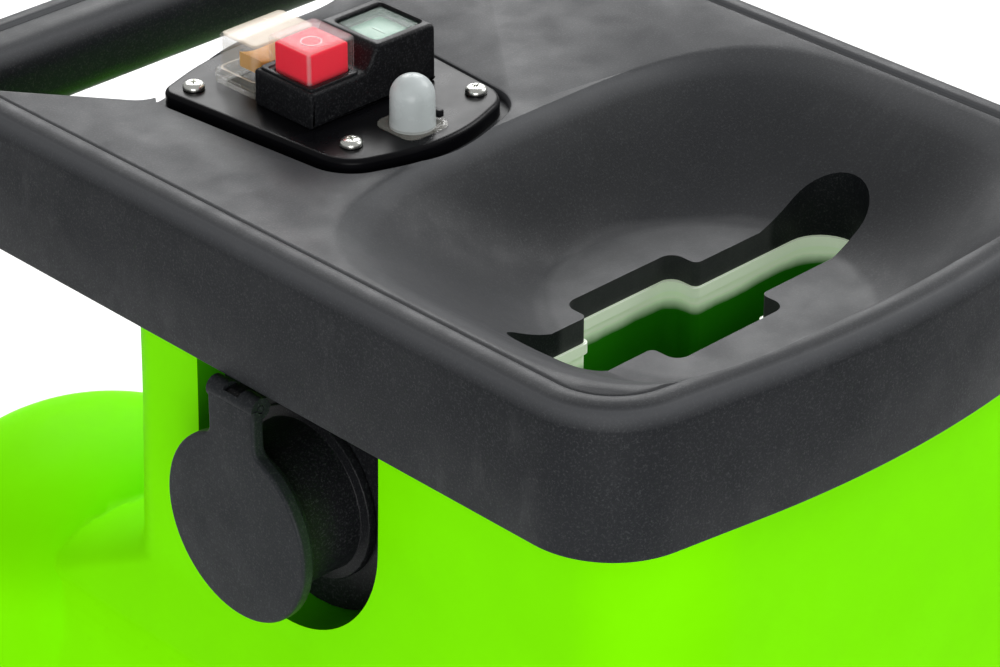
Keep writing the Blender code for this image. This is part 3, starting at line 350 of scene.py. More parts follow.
def solid(name, verts, faces, material, smooth=35):
    mesh = bpy.data.meshes.new(name)
    mesh.from_pydata([tuple(v) for v in verts], [], faces)
    tool = bmesh.new()
    tool.from_mesh(mesh)
    bmesh.ops.recalc_face_normals(tool, faces=tool.faces)
    tool.to_mesh(mesh)
    tool.free()
    made = add_object(name, mesh)
    if material:
        mesh.materials.append(material)
    finish_mesh(made, smooth)
    return made


def loft(name, rings, material=None, closed=False, smooth=35):
    """Rings of equal length, bridged in turn; the ends are capped, or joined if closed."""
    count = len(rings[0])
    verts = [v for ring in rings for v in ring]
    faces = []
    for r in range(len(rings) if closed else len(rings) - 1):
        low, high = r * count, ((r + 1) % len(rings)) * count
        for k in range(count):
            nxt = (k + 1) % count
            faces.append((low + k, low + nxt, high + nxt, high + k))
    if not closed:
        faces.append(tuple(reversed(range(count))))
        faces.append(tuple(range(len(verts) - count, len(verts))))
    return solid(name, verts, faces, material, smooth)


def prism(name, outline, z0, z1, material=None):
    return loft(name, [level(outline, z0), level(outline, z1)], material)


def turned(name, profile, centre, axis="Z", steps=48, material=None, closed=False, smooth=35):
    turn = {"Z": Matrix.Identity(3), "X": Matrix.Rotation(pi / 2, 3, "Y"),
            "Y": Matrix.Rotation(-pi / 2, 3, "X")}[axis]
    centre = Vector(centre)
    rings = []
    for radius, height in profile:
        rings.append([centre + turn @ Vector((p.x, p.y, height)) for p in circle(0, 0, radius, steps)])
    return loft(name, rings, material, closed, smooth)


def apply_modifiers(obj, smooth=35):
    """The object's evaluated mesh becomes its own, and the modifiers go."""
    bpy.context.view_layer.update()
    mesh = bpy.data.meshes.new_from_object(obj.evaluated_get(bpy.context.evaluated_depsgraph_get()))
    obj.modifiers.clear()
    obj.data = mesh
    finish_mesh(obj, smooth)
    return obj


def carve(obj, cutters, operation="DIFFERENCE", smooth=35):
    for tool in cutters:
        change = obj.modifiers.new("carve", "BOOLEAN")
        change.operation = operation
        change.object = tool
        change.solver = "EXACT"
    apply_modifiers(obj, smooth)
    for tool in cutters:
        bpy.data.objects.remove(tool, do_unlink=True)
    return obj


def round_edges(obj, width, angle=40):
    """Rounds the edges that turn by more than angle."""
    tool = bmesh.new()
    tool.from_mesh(obj.data)
    bmesh.ops.remove_doubles(tool, verts=tool.verts, dist=1e-6)
    bmesh.ops.dissolve_limit(tool, angle_limit=radians(1.0), verts=tool.verts, edges=tool.edges)
    tool.to_mesh(obj.data)
    tool.free()
    bevel = obj.modifiers.new("round", "BEVEL")
    bevel.width = width
    bevel.segments = 2
    bevel.limit_method = "ANGLE"
    bevel.angle_limit = radians(angle)
    return apply_modifiers(obj, angle)


def polished(node, width):
    """A copy of a dressed CAD node with rounded edges, which stands in for it."""
    made = add_object(node + "_fine", frame["nodes"][node].data.copy())
    return stand_in(round_edges(made, width), node)


def stand_in(piece, node):
    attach(piece, source_body(node))
    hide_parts(node)
    return piece


def source_body(node):
    return next(b for b, names in frame["record"]["behaviour"]["bodies"].items() if node in names)


def measures(node):
    """Lowest corner, highest corner and middle of a node's box."""
    low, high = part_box(node)
    return low, high, (low + high) / 2


def over_box(node, margin, radius):
    """Rounded rectangle over a node's box in plan, larger by margin on each side."""
    low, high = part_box(node)
    return rectangle(low.x - margin, high.x + margin, low.y - margin, high.y + margin, radius)


def quarter(steps, first=0):
    """Angles from 0 to 90 degrees, in radians."""
    return [radians(90 * k / steps) for k in range(first, steps + 1)]


def place_round(piece, centre, turn, axis):
    """Moves a piece made at the origin to centre, turned about axis."""
    piece.data.transform(Matrix.Translation(centre) @ Matrix.Rotation(turn, 4, axis))
    return piece


# ---------------------------------------------------------------- top cover
def cover_outline():
    corner_y = DISH_Y - 0.0925
    apex_y = DISH_Y - 0.118
    return rounded([(-COVER_HALF, corner_y, 0.040), (0.0, apex_y, 0.490), (COVER_HALF, corner_y, 0.040),
                    (COVER_HALF, COVER_REAR_Y, 0.030), (-COVER_HALF, COVER_REAR_Y, 0.030)], 20)


def cover_profile():
    """(inset, height from the flat top), from the skirt's lower edge over the bead to the top."""
    profile = [(0.0022, -0.0620), (0.0006, -0.0612), (0.0000, -0.0600), (0.0004, -0.0300), (0.0008, -0.0105)]
    for turn in quarter(8, 1)[:-1]:
        profile.append((0.0008 + 0.0062 * (1 - cos(turn)), -0.0088 + 0.0093 * sin(turn)))
    profile += [(0.0078, 0.0010), (0.0092, BEAD_H), (0.0112, BEAD_H), (0.0124, 0.0009), (0.0131, 0.0002),
                (0.0136, -0.0004), (0.0142, -0.0006), (0.0149, -0.0003), (0.0156, 0.0)]
    return profile


def rise(t):
    """Height of the dish between its floor (0) and its rim (1)."""
    eased = t * t * (3 - 2 * t)
    return 0.42 * eased + 0.58 * t if t < 1 else 1.0


def dish_rings(grow, drop, steps=160, count=26):
    rings = []
    for r in range(count + 1):
        share = r / count
        ring = []
        for k in range(steps):
            c, s = cos(2 * pi * k / steps), sin(2 * pi * k / steps)
            rim_x = (0.137 + grow) * abs(c) ** 0.5 * (1 if c >= 0 else -1)
            rim_y = (0.1015 + grow) * abs(s) ** 0.5 * (1 if s >= 0 else -1) + 0.0035
            x = (FLOOR_R + grow) * c * (1 - share) + rim_x * share
            y = (FLOOR_R + grow) * s * (1 - share) + rim_y * share
            ring.append(Vector((x, DISH_Y + y, FLOOR_Z - drop + (DISH_DEPTH + drop) * rise(share))))
        rings.append(ring)
    rings.append([Vector((v.x, v.y, TOP_Z + 0.02)) for v in rings[-1]])
    return rings


def slot_outline(grow=0.0, steps=8):
    """Cross-shaped slot: a long slot with round ends and a square block near its middle."""
    long_x, long_y, block_y = 0.0955 + grow, 0.0175 + grow, 0.031 + grow
    block_x0, block_x1 = -0.0415 - grow, 0.0205 + grow
    corners = []
    for side, near, far in ((1, block_x0, block_x1), (-1, -block_x1, -block_x0)):
        half = [(long_x, -long_y, long_y * 0.98), (long_x, long_y, long_y * 0.98), (far, long_y, 0.003),
                (far, block_y, 0.006), (near, block_y, 0.006), (near, long_y, 0.003)]
        corners += [(side * px, side * py, radius) for px, py, radius in half]
    return [point + Vector((0.0015, DISH_Y + 0.008)) for point in rounded(corners, steps)]


def panel_outline(grow=0.0, steps=14):
    front_y, rear_y = PANEL_FRONT_Y + 0.016, PANEL_REAR_Y - 0.018
    corners = [(-0.045, front_y, 0.018), (0, PANEL_FRONT_Y, 0.075), (0.045, front_y, 0.018),
               (0.054, rear_y, 0.008), (0, PANEL_REAR_Y, 0.120), (-0.054, rear_y, 0.008)]
    return inset(rounded([(PANEL_X + x, y, radius) for x, y, radius in corners], steps), -grow)


def hand_hole_outline():
    bar_y, edge_y, side = COVER_REAR_Y - BAR_DEPTH, DISH_Y + 0.2420, HOLE_SIDE
    corners = [(-side, bar_y - 0.020, 0.008), (PANEL_X - 0.057, edge_y - 0.021, 0.012),
               (PANEL_X, edge_y, 0.100), (PANEL_X + 0.054, edge_y, 0.060), (side, bar_y - 0.020, 0.008),
               (side, bar_y, 0.008), (-side, bar_y, 0.008)]
    return rounded(corners, 8)


def make_top_cover():
    outline = cover_outline()
    rings = [level(inset(outline, distance), TOP_Z + z) for distance, z in cover_profile()]
    cover = loft("top_cover_fine", rings, MATS["cover"])
    back = DISH_Y + 0.2095
    room = [Vector((p.x, min(p.y, back))) for p in inset(outline, WALL)]
    room = [p for i, p in enumerate(room) if (p - room[i - 1]).length > 1e-5]
    cavity = prism("cavity", room, SKIRT_Z - OVER, TOP_Z - WALL)
    boss = loft("boss", dish_rings(0.005, WALL, 96, 12))
    rim = prism("rim", slot_outline(0.004), FLOOR_Z - 0.011, TOP_Z - OVER)
    seat = prism("seat", panel_outline(0.0080), TOP_Z - 0.011, TOP_Z + 0.01)
    carve(cavity, [boss, rim, seat])

    hole = hand_hole_outline()
    soft = 0.004
    hole_rings = [level(hole, SKIRT_Z - OVER), level(hole, TOP_Z - soft)]
    for turn in quarter(6, 1):
        hole_rings.append(level(inset(hole, -soft * (1 - cos(turn))), TOP_Z - soft + soft * sin(turn)))
    hole_rings.append(level(inset(hole, -soft), TOP_Z + OVER))
    recess, recess_rings = panel_outline(0.0040), []
    for grow, z in ((0, -0.004), (0, -0.0015), (0.0006, -0.0004), (0.0018, 0.0002), (0.0018, OVER)):
        recess_rings.append(level(inset(recess, -grow), TOP_Z + z))
    window = rectangle(PANEL_X - 0.034, PANEL_X + 0.030, DISH_Y + 0.112, back, 0.004)
    bar_y = COVER_REAR_Y - BAR_DEPTH
    under = rectangle(-HOLE_SIDE, HOLE_SIDE, bar_y - 0.010, bar_y + 0.080, 0.006)
    carve(cover, [cavity, loft("dish", dish_rings(0.0, 0.0)),
                  prism("slot", slot_outline(), FLOOR_Z - 0.03, TOP_Z + 0.015), loft("recess", recess_rings),
                  prism("window", window, TOP_Z - 0.03, TOP_Z + 0.01), loft("hand_hole", hole_rings),
                  prism("under", under, SKIRT_Z - OVER, TOP_Z - 0.035),
                  bar_round("bar_top", bar_y, TOP_Z, 0.013, 1),
                  bar_round("bar_low", bar_y, TOP_Z - 0.035, 0.012, -1)], smooth=32)
    stand_in(cover, "top_cover")


def bar_round(name, y, z, radius, up):
    """Cutter that takes the square corner off the handle bar's front edge."""
    points = [Vector((y - 0.004, z + up * 0.004)), Vector((y - 0.004, z - up * radius))]
    for turn in quarter(8):
        points.append(Vector((y + radius * (1 - cos(turn)), z - up * radius * (1 - sin(turn)))))
    points.append(Vector((y + radius, z + up * 0.004)))
    return loft(name, [[Vector((x, p.x, p.y)) for p in points] for x in (-HOLE_SIDE, HOLE_SIDE)])


# ---------------------------------------------------------------- rounded solids
def soft_rings(outline, z0, z1, top=0.001, foot=0.0, steps=5):
    """Level rings of an upright solid whose upper and lower edges are quarter rounds."""
    rings = []
    for radius, z, up in ((foot, z0, -1), (top, z1, 1)):
        arc = []
        for turn in quarter(steps) if radius else [0.0]:
            arc.append(level(inset(outline, radius * (1 - cos(turn))), z - up * radius * (1 - sin(turn))))
        rings += arc if up > 0 else arc[::-1]
    return rings


def pad(name, outline, z0, z1, material=None, top=0.001, foot=0.0, steps=5):
    return loft(name, soft_rings(outline, z0, z1, top, foot, steps), material)


def along(axis, name, outline, start, end, material=None, soft=0.0, steps=4):
    """Solid along X from an outline in Y and Z, or along Y from one in X and Z, with soft ends."""
    rings = []
    for ring in soft_rings(outline, start, end, soft, soft, steps):
        rings.append([Vector((v.z, v.x, v.y)) if axis == "X" else Vector((v.x, v.z, v.y)) for v in ring])
    return loft(name, rings, material)


def clear_shell(name, outline, z0, z1, wall, soft, skin, top, edge):
    """Clear cap: an open-bottomed shell with a hazier top and bright moulded edges."""
    shell = pad(name, outline, z0, z1, skin, soft, 0.0, 4)
    room = pad("room", inset(outline, wall), z0 - 0.01, z1 - wall, None, soft * 0.5, 0.0, 3)
    carve(shell, [room], smooth=30)
    for finish in (top, edge):
        shell.data.materials.append(finish)
    for face in shell.data.polygons:
        flat = abs(face.normal.z)
        corner = abs(face.normal.x) > 0.25 and abs(face.normal.y) > 0.25
        face.material_index = 1 if flat > 0.95 else (2 if flat > 0.1 or corner else 0)
    return shell


def extra(piece, body):
    """A small new piece that rides on a body."""
    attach(piece, body)
    return piece


# ---------------------------------------------------------------- control panel
def make_panel():
    panel = pad("control_panel_fine", panel_outline(), PANEL_LOW.z, PANEL_TOP, MATS["panel"], 0.0022, 0.0, 6)
    boot = measures("reset_button")[2]
    hole = over_box("rocker_frame", -0.004, 0.001)
    carve(panel, [prism("rocker_hole", hole, PANEL_LOW.z - 0.01, PANEL_TOP + 0.01),
                  turned("boot_hole", [(0.006, -0.02), (0.006, 0.01)], (boot.x, boot.y, PANEL_TOP))],
          smooth=30)
    stand_in(panel, "control_panel")
    for i in range(1, 5):
        make_pan_screw(i)


def make_pan_screw(i):
    """Pan-head screw with a cross recess and the cross's thin second marks."""
    name = f"panel_screw_{i}"
    low, high, middle = measures(name)
    z, crown = PANEL_TOP + GAP, 0.0028
    profile = [(0.0021, low.z - z), (0.0021, 0.0), (0.0046, 0.0), (0.00465, 0.0005)]
    for turn in quarter(6):
        profile.append((0.0019 + 0.0027 * cos(turn), 0.0009 + 0.0019 * sin(turn)))
    profile.append((0.0001, crown))
    screw = turned(name + "_fine", profile, (middle.x, middle.y, z), "Z", 40, MATS["zinc"])
    arms = []
    for angle, half, wide, deep in ((25, 0.0024, 0.0005, 0.0014), (115, 0.0024, 0.0005, 0.0014),
                                    (70, 0.0017, 0.0002, 0.0004), (160, 0.0017, 0.0002, 0.0004)):
        arm = prism("arm", rectangle(-half, half, -wide, wide), z + crown - deep, z + 0.006)
        arms.append(place_round(arm, (middle.x, middle.y, 0), radians(angle + 37 * i), "Z"))
    stand_in(carve(screw, arms, smooth=30), name)


# ---------------------------------------------------------------- switch
def make_switch():
    """Housing: a low tray for the stop key, and a shroud that sweeps up round the start key."""
    low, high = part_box("switch_housing")
    tray, rim = low.z + 0.0155, high.z
    start, end = PANEL_X + 0.0030, PANEL_X - 0.0055
    sweep = []
    for k in range(13):
        t = k / 12
        sweep.append((start + (end - start) * t, tray + (rim - tray) * (1 + cos(pi * t)) / 2, 0))
    foot = [(low.x, low.z, 0.0004), (high.x, low.z, 0.0004), (high.x, rim, 0.003)]
    outline = rounded(foot + sweep + [(low.x, tray, 0.0015)], 6)
    housing = along("Y", "switch_housing_fine", outline, low.y, high.y, MATS["trim"], 0.0016, 5)
    cutters = [prism("well", over_box(key + "_button", 0.0006, 0.0018), low.z - 0.01, rim + 0.01)
               for key in ("stop", "start")]
    mouth, lip = over_box("start_cover", 0.0005, 0.0022), 0.0012
    rings = [level(mouth, rim - 0.004), level(mouth, rim - lip)]
    for turn in quarter(4, 1):
        rings.append(level(inset(mouth, -lip * (1 - cos(turn))), rim - lip + lip * sin(turn)))
    rings.append(level(inset(mouth, -lip), rim + 0.01))
    stand_in(carve(housing, cutters + [loft("mouth", rings)], smooth=30), "switch_housing")

    edge = 0.0016
    low_lip = rectangle(low.x + edge, PANEL_X - 0.0068, low.y + edge, high.y - edge, 0.0022)
    a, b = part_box("stop_cover")
    lip_ring = pad("stop_lip", low_lip, tray - 0.0003, tray + 0.0011, MATS["trim"], 0.0005)
    inside = rectangle(a.x - 0.0004, b.x + 0.0002, a.y - 0.0004, b.y + 0.0004, 0.002)
    extra(carve(lip_ring, [prism("room", inside, tray - 0.01, tray + 0.01)]), "hopper")

    for which, finish in (("stop", "red"), ("start", "start")):
        make_key(which, finish)
    polished("switch_block", 0.0008)


def make_key(which, finish):
    """Square key with rounded edges, its raised mark and the clear cover over it."""
    name = which + "_button"
    low, high, middle = measures(name)
    stand_in(pad(name + "_fine", over_box(name, 0, 0.0018), low.z, high.z, MATS[finish], 0.0009), name)
    x, y, z = middle.x, middle.y, high.z + 0.00002
    if which == "stop":
        ring = [(0.0040, 0.0), (0.0040, 0.0003), (0.0045, 0.0003), (0.0045, 0.0)]
        mark = turned("stop_mark", ring, (x, y, z), "Z", 48, MATS["mark"], closed=True)
    else:
        line = rectangle(x - 0.0003, x + 0.0003, y - 0.0038, y + 0.0038, 0.0002)
        mark = pad("start_mark", line, z, high.z + 0.0003, MATS["mark_green"], 0.0001)
    extra(mark, name)
    cover = which + "_cover"
    low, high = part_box(cover)
    shell = clear_shell(cover + "_fine", over_box(cover, 0, 0.0020), low.z, high.z, 0.0008, 0.0012,
                        MATS["film"], MATS["film_" + finish], MATS["film_edge"])
    stand_in(shell, cover)


# ---------------------------------------------------------------- rocker and reset boot
def make_rocker():
    """Amber rocker in a clear grooved frame, under a clear splash cap."""
    low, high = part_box("rocker_frame")
    outline = over_box("rocker_frame", 0, 0.0030)
    ring = pad("rocker_frame_fine", outline, low.z, high.z, MATS["film_grey"], 0.0012, 0.0006)
    groove = prism("groove", over_box("rocker_frame", 0.01, 0), low.z + 0.0030, low.z + 0.0036)
    carve(groove, [prism("keep", inset(outline, 0.0007), low.z - 0.01, high.z + 0.01)])
    room = prism("room", over_box("rocker_frame", -0.0035, 0.0008), low.z - 0.01, high.z + 0.01)
    stand_in(carve(ring, [groove, room], smooth=30), "rocker_frame")

    low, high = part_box("rocker_cap")
    cap = clear_shell("rocker_cap_fine", over_box("rocker_cap", 0, 0.0036), low.z, high.z, 0.0010, 0.0022,
                      MATS["film_grey"], MATS["film_milky"], MATS["film_edge"])
    stand_in(cap, "rocker_cap")

    low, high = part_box("direction_rocker")
    half, mid_x = (high.x - low.x) / 2, (low.x + high.x) / 2
    points = [Vector((mid_x - half, low.z)), Vector((mid_x + half, low.z))]
    for k in range(13):
        t = 1 - 2 * k / 12
        points.append(Vector((mid_x + half * t, high.z - 0.0020 * (1 - t * t))))
    rocker = along("Y", "direction_rocker_fine", points, low.y, high.y, MATS["amber"], 0.0008)
    stand_in(rocker, "direction_rocker")
    polished("rocker_switch", 0.0006)


def make_boot():
    """Milky silicone boot: a domed sleeve on a thin square flange with a small clip."""
    low, high, middle = measures("reset_boot")
    x, y, z, tall = middle.x, middle.y, low.z, high.z - low.z
    dome, skin = 0.0092, 0.0011
    outer = [(dome + 0.0003, 0.0), (dome + 0.0001, 0.004), (dome, tall - dome)]
    outer += [(dome * cos(radians(a)), tall - dome + dome * sin(radians(a))) for a in range(10, 90, 10)]
    inner = [(max(0.0002, r - skin), h - (skin if h > tall - dome else 0)) for r, h in outer[::-1]]
    profile = outer + [(0.0002, tall), (0.0002, tall - skin)]
    profile += [(r, h) for r, h in inner if h < tall - 0.0012]
    boot = turned("reset_boot_fine", profile, (x, y, z), "Z", 48, MATS["silicone"], closed=True)
    stand_in(boot, "reset_boot")
    square = rectangle(x - 0.0115, x + 0.0115, y - 0.0115, y + 0.0115, 0.005)
    flange = pad("boot_flange", square, z, z + 0.0012, MATS["film_grey"], 0.0005)
    carve(flange, [turned("bore", [(dome + 0.0005, -0.01), (dome + 0.0005, 0.01)], (x, y, z))])
    extra(flange, "hopper")
    clip = rectangle(x + 0.0098, x + 0.0128, y - 0.0050, y - 0.0010, 0.0008)
    extra(pad("boot_clip", clip, z + 0.0013, z + 0.0042, MATS["trim"], 0.0006), "hopper")
    polished("reset_button", 0.0004)


# ---------------------------------------------------------------- hopper body
def smooth_rows(rows, parts=4):
    """Extra rows between the given ones, on a curve that keeps to the rows' own slopes."""
    fine = []
    for i in range(len(rows) - 1):
        p0, p1 = rows[max(i - 1, 0)], rows[i]
        p2, p3 = rows[i + 1], rows[min(i + 2, len(rows) - 1)]
        for k in range(parts):
            t = k / parts
            row = [p1[0] + (p2[0] - p1[0]) * t]
            for c in range(1, len(p1)):
                span = p2[0] - p1[0]
                m1 = (p2[c] - p0[c]) / max(1e-9, p2[0] - p0[0]) * span
                m2 = (p3[c] - p1[c]) / max(1e-9, p3[0] - p1[0]) * span
                step = p2[c] - p1[c]
                most = 3 * abs(step)
                m1, m2 = [0.0 if m * step <= 0 else max(-most, min(most, m)) for m in (m1, m2)]
                row.append((2 * t ** 3 - 3 * t * t + 1) * p1[c] + (t ** 3 - 2 * t * t + t) * m1
                           + (3 * t * t - 2 * t ** 3) * p2[c] + (t ** 3 - t * t) * m2)
            fine.append(row)
    return fine + [list(rows[-1])]


def body_rows():
    """(drop, half width, front, rear, front radius, rear radius), from the deck down."""
    column_rear, spread, crown, slope = 0.206, 0.050, 0.192, 0.110
    rear_step = 0.385 - column_rear
    low = TOP_Z - BODY_LOW.z
    rows = [(TOP_Z - BODY_HIGH.z, 0.00, 0.00, 0.000, 0.045, 0.018),
            (crown - 0.070, 0.03, 0.03, 0.000, 0.045, 0.018),
            (crown - 0.026, 0.08, 0.08, 0.005, 0.046, 0.020),
            (crown - 0.004, 0.11, 0.11, 0.020, 0.047, 0.024)]
    for deep in (0.0, 0.10, 0.20, 0.32, 0.48, 0.70, 1.0):
        rows.append((crown + slope * deep, 0.12 + 0.30 * deep, 0.12 + 0.20 * deep,
                     0.06 + 0.92 * sin(pi / 2 * deep), 0.047 + 0.004 * deep, 0.030 + 0.045 * deep))
    rest = low - crown - slope
    rows += [(crown + slope + rest * 0.28, 0.70, 0.55, 0.990, 0.056, 0.078),
             (crown + slope + rest * 0.60, 0.90, 0.78, 1.000, 0.059, 0.078),
             (crown + slope + rest * 0.85, 1.00, 0.95, 1.000, 0.060, 0.075),
             (low, 1.00, 1.00, 1.000, 0.060, 0.075)]
    front = -0.098
    front_step = -0.130 - front
    return [(down, 0.128 + spread * wide, front + front_step * ahead, column_rear + rear_step * back, fr, rr)
            for down, wide, ahead, back, fr, rr in smooth_rows(rows)]


def shoulder_domes(shrink=0.0):
    """The two rear domes of the body, or their inner faces."""
    crown, radius, tall = TOP_Z - 0.196 - shrink, 0.083 - shrink, 0.050
    profile = [(radius, BODY_LOW.z + 0.03)]
    for turn in quarter(16):
        profile.append((max(0.0005, radius * cos(turn)), crown - tall * (1 - sin(turn))))
    return [turned("dome", profile, (side * 0.078, DISH_Y + 0.294, 0), "Z", 96) for side in (-1, 1)]


def body_ring(row, shrink=0.0):
    down, half, front, rear, front_r, rear_r = row
    corners = [(-half, DISH_Y + front, front_r), (half, DISH_Y + front, front_r),
               (half, DISH_Y + rear, rear_r), (-half, DISH_Y + rear, rear_r)]
    return level(inset(rounded(corners, 14), shrink), TOP_Z - down - shrink)


def recess_outline(grow=0.0):
    y0, y1 = DISH_Y + 0.0505 - grow, DISH_Y + 0.1585 + grow
    top, bottom = TOP_Z - 0.064 + grow, TOP_Z - 0.1805 - grow
    radius = (0.054 + grow) * 0.98
    return rounded([(y0, bottom, radius), (y1, bottom, radius), (y1, top, 0), (y0, top, 0)], 20)


def make_body():
    rows = body_rows()
    body = loft("hopper_body_fine", [body_ring(row) for row in rows], MATS["green"], smooth=60)
    foot = [Vector((v.x, v.y, BODY_LOW.z - OVER)) for v in body_ring(rows[-1], WALL)]
    core = loft("core", [body_ring(row, WALL) for row in rows[:-1:2]] + [foot])
    carve(core, shoulder_domes(WALL), "UNION")
    carve(core, [along("X", "pocket", recess_outline(WALL), -0.178, RECESS_X + WALL)])
    carve(body, shoulder_domes(), "UNION", smooth=60)
    recess = along("X", "recess", recess_outline(), -0.208, RECESS_X)
    slot = prism("slot", slot_outline(-0.001), BODY_HIGH.z - OVER, BODY_HIGH.z + OVER)
    carve(body, [core, recess, slot], smooth=60)
    for finish in ("lip_glow", "recess"):
        body.data.materials.append(MATS[finish])
    deck_low = BODY_HIGH.z - WALL
    for face in body.data.polygons:
        spot = face.center
        in_recess = -0.1275 < spot.x < RECESS_X + 0.001 and DISH_Y + 0.050 < spot.y < DISH_Y + 0.159
        # painted light: the deck top and the slot walls take the pale glowing finish
        if deck_low < spot.z and (face.normal.z > 0.9 or abs(face.normal.z) < 0.3 and abs(spot.x) < 0.105):
            face.material_index = 1
        # painted shade: faces inside the inlet recess take the darker green
        elif in_recess and TOP_Z - 0.181 < spot.z < TOP_Z - 0.063:
            face.material_index = 2
    stand_in(body, "hopper_body")
    z0 = BODY_LOW.z
    lug = pad("hopper_lug", lug_outline(), z0, z0 + 0.008, MATS["green"], 0.0015, 0.0015)
    carve(lug, [turned("bore", [(0.005, -0.02), (0.005, 0.02)], (0, LOCK_Y, z0))])
    extra(lug, "hopper")

    low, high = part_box("feed_chute")
    inner, outer = slot_outline(), slot_outline(0.003)
    rings = [level(outer, low.z), level(outer, high.z), level(inner, high.z), level(inner, low.z)]
    stand_in(loft("feed_chute_fine", rings, MATS["inner_green"], closed=True), "feed_chute")


def lug_outline():
    half, front, root = 0.020, LOCK_Y - 0.014, LOCK_Y + 0.0225
    return rounded([(-half, front, 0.008), (half, front, 0.008), (half, root, 0), (-half, root, 0)])


# ---------------------------------------------------------------- power inlet
def cap_outline(fillet, top):
    """Flap cap in Y and Z: a disc whose neck flares into the strap above it."""
    half = STRAP_HALF
    rise_z = sqrt((CAP_R + fillet) ** 2 - (half + fillet) ** 2)
    neck = atan2(rise_z, half + fillet)
    points = arc(CAP_Y + half + fillet, CAP_Z + rise_z, fillet, pi, neck, 8)
    points += arc(CAP_Y, CAP_Z, CAP_R, neck, -pi - 2 * neck, 60)[1:-1]
    points += arc(CAP_Y - half - fillet, CAP_Z + rise_z, fillet, -neck, neck, 8)
    points += [Vector((CAP_Y - half, top)), Vector((CAP_Y + half, top))]
    return points[::-1]


def make_cap():
    """Flap cap with its seal and the hinge barrel at the top of its strap."""
    joint = next(j for j in frame["record"]["behaviour"]["joints"] if j["name"] == "cap_flap")
    hinge = Vector(joint["pos_m"])
    x0 = CAP_LOW.x
    cap = along("X", "inlet_cap_fine", cap_outline(0.005, hinge.z), x0, x0 + 0.0060, MATS["cap"], 0.0015, 5)
    ring = [(0.0365, 0.005), (0.0365, 0.0095), (0.0335, 0.0095), (0.0335, 0.005)]
    seal = turned("seal", ring, (x0, hinge.y, CAP_Z), "X", 64, closed=True)
    barrel = turned("barrel", [(0.0048, -STRAP_HALF), (0.0048, STRAP_HALF)], hinge, "Y", 40)
    carve(cap, [seal, barrel], "UNION")
    back, half = 0.0037, 0.0045
    notch = prism("notch", rectangle(hinge.x - back, hinge.x + 0.010, hinge.y - half, hinge.y + half),
                  hinge.z - back, hinge.z + 0.010)
    bore = turned("bore", [(0.0018, -0.03), (0.0018, 0.03)], hinge, "Y", 24)
    stand_in(carve(cap, [notch, bore], smooth=32), "inlet_cap")
    for node in ("inlet_plate", "inlet_socket"):
        polished(node, 0.0006)


# ---------------------------------------------------------------- running gear
def make_wheels():
    """Ribbed wheels, tyres with two staggered rows of tread blocks, and domed axle caps."""
    axle_low, axle_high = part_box("axle")
    axle_r = (axle_high.z - axle_low.z) / 2
    for side in ("left", "right"):
        low, high, centre = measures("tyre_" + side)
        radius, half = (high.z - low.z) / 2, (high.x - low.x) / 2
        rim_r = radius - 0.018
        make_tyre("tyre_" + side, centre, radius, rim_r, half)
        make_wheel("wheel_" + side, centre, axle_r + GAP, rim_r - GAP, half)
        low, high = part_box("axle_cap_" + side)
        inner = low.x if side == "right" else high.x
        out = 1 if side == "right" else -1
        cap = [(0.0158, 0.0), (0.0160, 0.0004), (0.0160, 0.0026), (0.0156, 0.0032)]
        cap += [(0.0135 * cos(radians(a)), 0.0034 + 0.0046 * sin(radians(a))) for a in range(0, 90, 12)]
        cap = [(r, out * x) for r, x in cap + [(0.0002, 0.0080)]]
        made = turned(f"axle_cap_{side}_fine", cap, (inner, centre.y, centre.z), "X", 48, MATS["green"])
        stand_in(made, "axle_cap_" + side)


def make_tyre(node, centre, radius, rim_r, half, steps=150, groove=0.0028):
    """Tyre turned about its axle, with grooves across each half of its tread."""
    shoulder, wall = 0.009, -half + 0.0004
    side = [(rim_r, -half), (rim_r + 0.003, -half), (rim_r + 0.0045, -half + 0.0008),
            (radius - shoulder, wall)]
    for turn in quarter(6, 1):
        side.append((radius - shoulder + shoulder * sin(turn), wall + shoulder * (1 - cos(turn))))
    side += [(radius, -0.0020), (radius - groove, -0.0012)]
    profile = side + [(r, -x) for r, x in reversed(side)]
    rings = []
    for r, x in profile:
        ring = []
        for k in range(steps):
            cut = (k + (3 if x > 0 else 0)) % 6 < 2 and r > radius - 0.004
            reach = r - groove if cut and r > radius - groove / 2 else r
            turn = 2 * pi * k / steps
            ring.append(centre + Vector((x, reach * cos(turn), reach * sin(turn))))
        rings.append(ring)
    stand_in(loft(node + "_fine", rings, MATS["rubber"], closed=True, smooth=28), node)


def make_wheel(node, centre, bore, rim_r, half, ribs=9):
    """Moulded wheel: hub, web and rim, with ribs on both faces of the web."""
    flange, web = half * 0.84, 0.0032
    face = [(bore, half), (0.0185, half), (0.0200, half - 0.0015), (0.0215, web), (rim_r - 0.0070, web),
            (rim_r - 0.0055, web + 0.002), (rim_r - 0.0035, flange - 0.001), (rim_r - 0.0025, flange),
            (rim_r, flange)]
    profile = [(r, -x) for r, x in face] + face[::-1]
    wheel = turned("wheel", profile, centre, "X", 96, closed=True)
    outline, reach = rectangle(0.0195, rim_r - 0.0045, -0.0024, 0.0024, 0.0006), half * 0.62
    bars = []
    for k in range(ribs):
        bar = along("X", "bar", outline, -reach, reach, None, 0.0010)
        bars.append(place_round(bar, centre, 2 * pi * k / ribs, "X"))
    carve(wheel, bars, "UNION", smooth=30)
    wheel.name = node + "_fine"
    only_material(wheel, MATS["trim"])
    stand_in(wheel, node)


